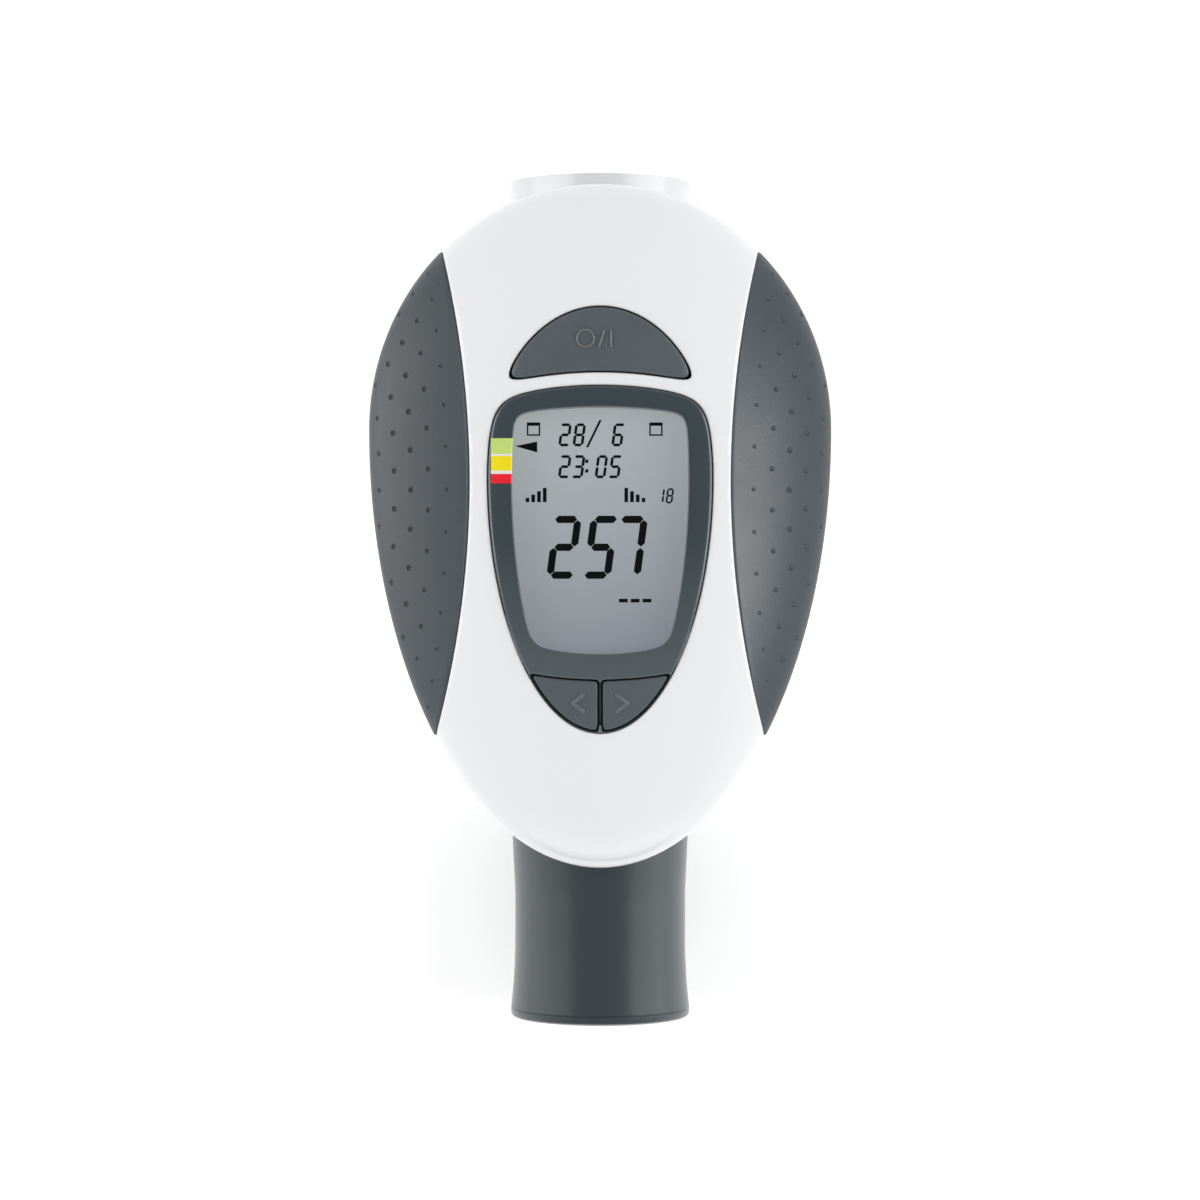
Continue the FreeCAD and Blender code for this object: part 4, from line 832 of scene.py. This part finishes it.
def makeDisplay():
    # rows: text, left edges, foot, width, height and pen of the digits
    look = {"lean": 0.13, "lift": 0.01,
            "rows": [("257", (-8.95, -2.88, 2.0), 3.5, 4.6, 10.4, 1.2),
                     ("286", (-6.95, -4.6, 1.8), 25.35, 1.8, 3.8, 0.46),
                     ("2305", (-7.0, -4.7, -0.95, 1.35), 20.1, 1.8, 3.8, 0.46),
                     ("18", (9.25, 10.75), 15.95, 1.15, 2.5, 0.3)],
            "slash": [(-2.35, 25.2), (-1.95, 25.2), (0.25, 29.7), (-0.15, 29.7)],
            "colon": [(-2.5, -0.28), (-2.0, -0.28), (-1.93, 0.28), (-2.43, 0.28)], "colonY": (21.3, 22.9),
            "pointer": [(-14.05, 25.4), (-10.4, 24.35), (-10.4, 26.15)],
            "sheetX": (-12.1, 8.1), "sheetY": 27.1, "sheetWidth": 2.2, "sheetHeight": 2.2, "sheetLine": 0.25,
            "sheetHead": 0.55, "levelX": (-12.3, 4.0), "levelY": 16.15, "levelStep": 0.95, "levelWidth": 0.6,
            "levels": (0.7, 1.25, 1.8, 2.35), "unitX": 3.1, "unitY": -0.4, "unitStep": 1.95,
            "unitWidth": 1.45, "unitHeight": 0.6}
    z = case["panelZ"] + look["lift"]
    marks = []

    def bar(name, x, y, width, height):
        marks.append(flat(name, [(x, y), (x + width, y), (x + width, y + height), (x, y + height)], z))

    for row, places, y, width, height, pen in look["rows"]:
        for text, x in zip(row, places):
            marks.extend(digit(text, x, y, width, height, pen, look["lean"], z))
    marks.append(flat("slash", look["slash"], z))
    for y in look["colonY"]:
        marks.append(flat("colon", [(x, y + up) for x, up in look["colon"]], z))
    marks.append(flat("pointer", look["pointer"], z))
    # plain marks: sheets with a folded head, level bars and dashes
    for x in look["sheetX"]:
        y, width, height = look["sheetY"], look["sheetWidth"], look["sheetHeight"]
        thin, head = look["sheetLine"], look["sheetHead"]
        bar("sheetMark", x, y, width, thin)
        bar("sheetMark", x, y + height - head, width, head)
        bar("sheetMark", x, y + thin, thin, height - head - thin)
        bar("sheetMark", x + width - thin, y + thin, thin, height - head - thin)
    for x, heights in zip(look["levelX"], (look["levels"], look["levels"][::-1])):
        for number, height in enumerate(heights):
            bar("levelMark", x + look["levelStep"] * number, look["levelY"], look["levelWidth"], height)
    for number in range(3):
        left = look["unitX"] + look["unitStep"] * number
        bar("unitMark", left, look["unitY"], look["unitWidth"], look["unitHeight"])
    ink = joined("displayDigits", marks)
    finish(ink, "case", "lcd_glass", materials["displayInk"])
    print("display marks:", len(ink.data.polygons), "faces")


# Mouthpiece: a waisted tube with a flared, rounded lip
def makeMouthpiece():
    look = {"startY": -36.2, "endY": -72.0, "radius": 15.3, "waist": 14.7, "lip": 15.4, "lipY": -70.2,
            "groove": 0.12, "bore": 12.6, "boreY": -60.0, "throat": 10.6, "throatSlope": 2, "socket": 12.0,
            "socketY": -46.2, "startRound": 0.35, "neck": 0.4, "neckPower": 1.3, "flareFrom": 0.62,
            "flarePower": 2.2, "endRound": 0.75, "count": 160}
    radius, waist, lip, lipY = look["radius"], look["waist"], look["lip"], look["lipY"]
    startY, bore = look["startY"], look["bore"]
    axisZ = case["axisZ"]
    outer = [(look["socket"], startY), (radius - 0.3, startY), (radius - 0.08, startY - 0.08),
             (radius, startY - look["startRound"])]
    for step in range(1, 25):
        share = step / 24
        y = startY - look["startRound"] + (lipY - startY + look["startRound"]) * share
        near = radius - (radius - waist) * min(1, share / look["neck"]) ** look["neckPower"]
        grown = max(0, (share - look["flareFrom"]) / (1 - look["flareFrom"])) ** look["flarePower"]
        outer.append((near + (lip - waist) * grown, y))
    outer += [(lip - look["groove"], lipY - 0.08), (lip - look["groove"], lipY - 0.2), (lip, lipY - 0.3)]
    for step in range(7):
        turn = math.pi * step / 6
        middle, half = (lip + bore) / 2, (lip - bore) / 2
        outer.append((middle + half * math.cos(turn), look["endY"] + look["endRound"] * (1 - math.sin(turn))))
    inner = [(bore, look["boreY"]), (look["throat"], look["boreY"] + look["throatSlope"]),
             (look["throat"], look["socketY"]), (look["socket"], look["socketY"])]
    profile = outer + inner

    def section(step):
        turn = 2 * math.pi * step / look["count"]
        return [(radius * math.cos(turn), y, axisZ + radius * math.sin(turn)) for radius, y in profile]

    piece = ringPiece("mouthTube", look["count"], section, 30)
    finish(piece, "cartridge", "mouth_grey", materials["mouthGrey"], "mouthpiece")
    print("mouthpiece:", len(piece.data.polygons), "faces")


case["axisZ"] = (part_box("mouthpiece")[0].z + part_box("mouthpiece")[1].z) / 2 / mm

# Finishes of the nodes that stay
nodesOf = {
    "whiteCase": "rear_shell battery_door", "shadedBarrelWhite": "barrel", "displayPanel": "lcd_panel",
    "clearLens": "display_lens", "innerPlastic": "lcd_holder inlet_swirler outlet_spider",
    "elastomer": "connector_strips", "boardGreen": "main_board", "tubeSmoke": "measuring_tube",
    "cellJacket": "left_battery_cell right_battery_cell", "jewelRed": "bearing_jewels",
    "plainSteel": "radio_module battery_contacts battery_springs case_screws board_screws rotor_axle",
    "darkPart": "microcontroller buzzer infrared_emitter infrared_receiver tube_seals rotor_vane "
                "power_switch back_switch forward_switch power_plunger back_plunger forward_plunger",
}
nodeLooks = {name: look for look, names in nodesOf.items() for name in names.split()}
for name, node in nodes.items():
    node.data.materials.clear()
    node.data.materials.append(materials[nodeLooks.get(name, "whiteCase")])

makeFrontShell()
makeGrips()
makeBezel()
makeButtons()
makeZones()
makeDisplay()
makeMouthpiece()


# Studio: pale floor, soft light and the camera straight above
def makeStudio():
    look = {"zenith": 0.19, "horizon": 0.84, "floorSize": 6.0, "cameraX": -0.00003, "cameraZ": 0.606,
            "lens": 102.3, "floorGlow": 0.4, "floorShine": 0.45, "lampsFace": (0, 0, 0.03),
            "lamps": [("leftLamp", (-1.1, 0.15, 0.55), (0.8, 1.4), 10.2, "EXCLUDE", ("mouthTube",)),
                      ("rightLamp", (1.1, 0.1, 0.55), (0.8, 1.4), 11.4, "EXCLUDE",
                       ("mouthTube", "gripSkinRight")),
                      ("footLamp", (0.0, -1.0, 0.62), (1.2, 0.5), 2.0, "EXCLUDE", ("mouthTube",)),
                      ("tubeLeftLamp", (-1.1, 0.15, 0.42), (0.8, 1.4), 2.6, "INCLUDE", ("mouthTube",)),
                      ("tubeRightLamp", (1.1, 0.1, 0.42), (0.8, 1.4), 4.4, "INCLUDE", ("mouthTube",)),
                      ("sheenLamp", (0.30, -0.062, 0.72), (0.1, 0.12), 3.5, "INCLUDE", ("gripSkinRight",))]}
    deselect()
    bpy.ops.mesh.primitive_plane_add(size=look["floorSize"], location=(0, 0, -0.0002))
    floor = bpy.context.object
    floor.name = "studioFloor"
    bpy.ops.object.transform_apply(location=True, rotation=True, scale=True)
    material = bpy.data.materials.new("floorWhite")
    material.use_nodes = True
    tree = material.node_tree
    shader = tree.nodes["Principled BSDF"]
    shader.inputs["Base Color"].default_value = (0.86, 0.86, 0.86, 1)
    shader.inputs["Roughness"].default_value = 0.9
    shader.inputs["Specular IOR Level"].default_value = 0.0
    shader.inputs["Emission Color"].default_value = (1, 1, 1, 1)
    rays = tree.nodes.new("ShaderNodeLightPath")
    flow = Flow(tree, rays.outputs["Is Camera Ray"])
    glossy = Flow(tree, rays.outputs["Is Glossy Ray"])
    feed(flow, shader, "Emission Strength", flow * look["floorGlow"] + glossy * look["floorShine"])
    floor.data.materials.append(material)
    world = bpy.data.worlds.new("studioWorld")
    bpy.context.scene.world = world
    world.use_nodes = True
    sky = world.node_tree
    background = sky.nodes["Background"]
    background.inputs["Color"].default_value = (1, 1, 1, 1)
    rays = sky.nodes.new("ShaderNodeLightPath")
    seen = Flow(sky, rays.outputs["Is Camera Ray"])
    way = Flow(sky, sky.nodes.new("ShaderNodeTexCoord").outputs["Generated"])
    rise = Flow(sky, way.make("ShaderNodeSeparateXYZ", None, i0=way).outputs[2])
    height = way.math("MAXIMUM", rise, 0.0)
    light = (1 - height) * (look["horizon"] - look["zenith"]) + look["zenith"]
    sky.links.new((seen * (1 - light) + light).socket, background.inputs["Strength"])
    for name, place, size, power, link, pieces in look["lamps"]:
        lamp = bpy.data.lights.new(name, "AREA")
        lamp.shape = "RECTANGLE"
        lamp.size, lamp.size_y = size
        lamp.energy = power
        holder = bpy.data.objects.new(name, lamp)
        holder.location = place
        way = Vector(look["lampsFace"]) - Vector(place)
        holder.rotation_euler = way.to_track_quat("-Z", "Y").to_euler()
        bpy.context.collection.objects.link(holder)
        # each lamp is kept to some pieces, or kept off them
        receivers = bpy.data.collections.new(name + "Receivers")
        for piece in pieces:
            receivers.objects.link(bpy.data.objects[piece])
        for receiver in receivers.collection_objects:
            receiver.light_linking.link_state = link
        holder.light_linking.receiver_collection = receivers
    camera = bpy.data.cameras.new("photoCamera")
    camera.lens = look["lens"]
    camera.sensor_width = 36
    camera.clip_start = 0.01
    holder = bpy.data.objects.new("photoCamera", camera)
    holder.location = (look["cameraX"], 0, look["cameraZ"])
    bpy.context.collection.objects.link(holder)
    bpy.context.scene.camera = holder
    bpy.context.scene.view_settings.view_transform = "Standard"
    print("studio made")


makeStudio()
deselect()
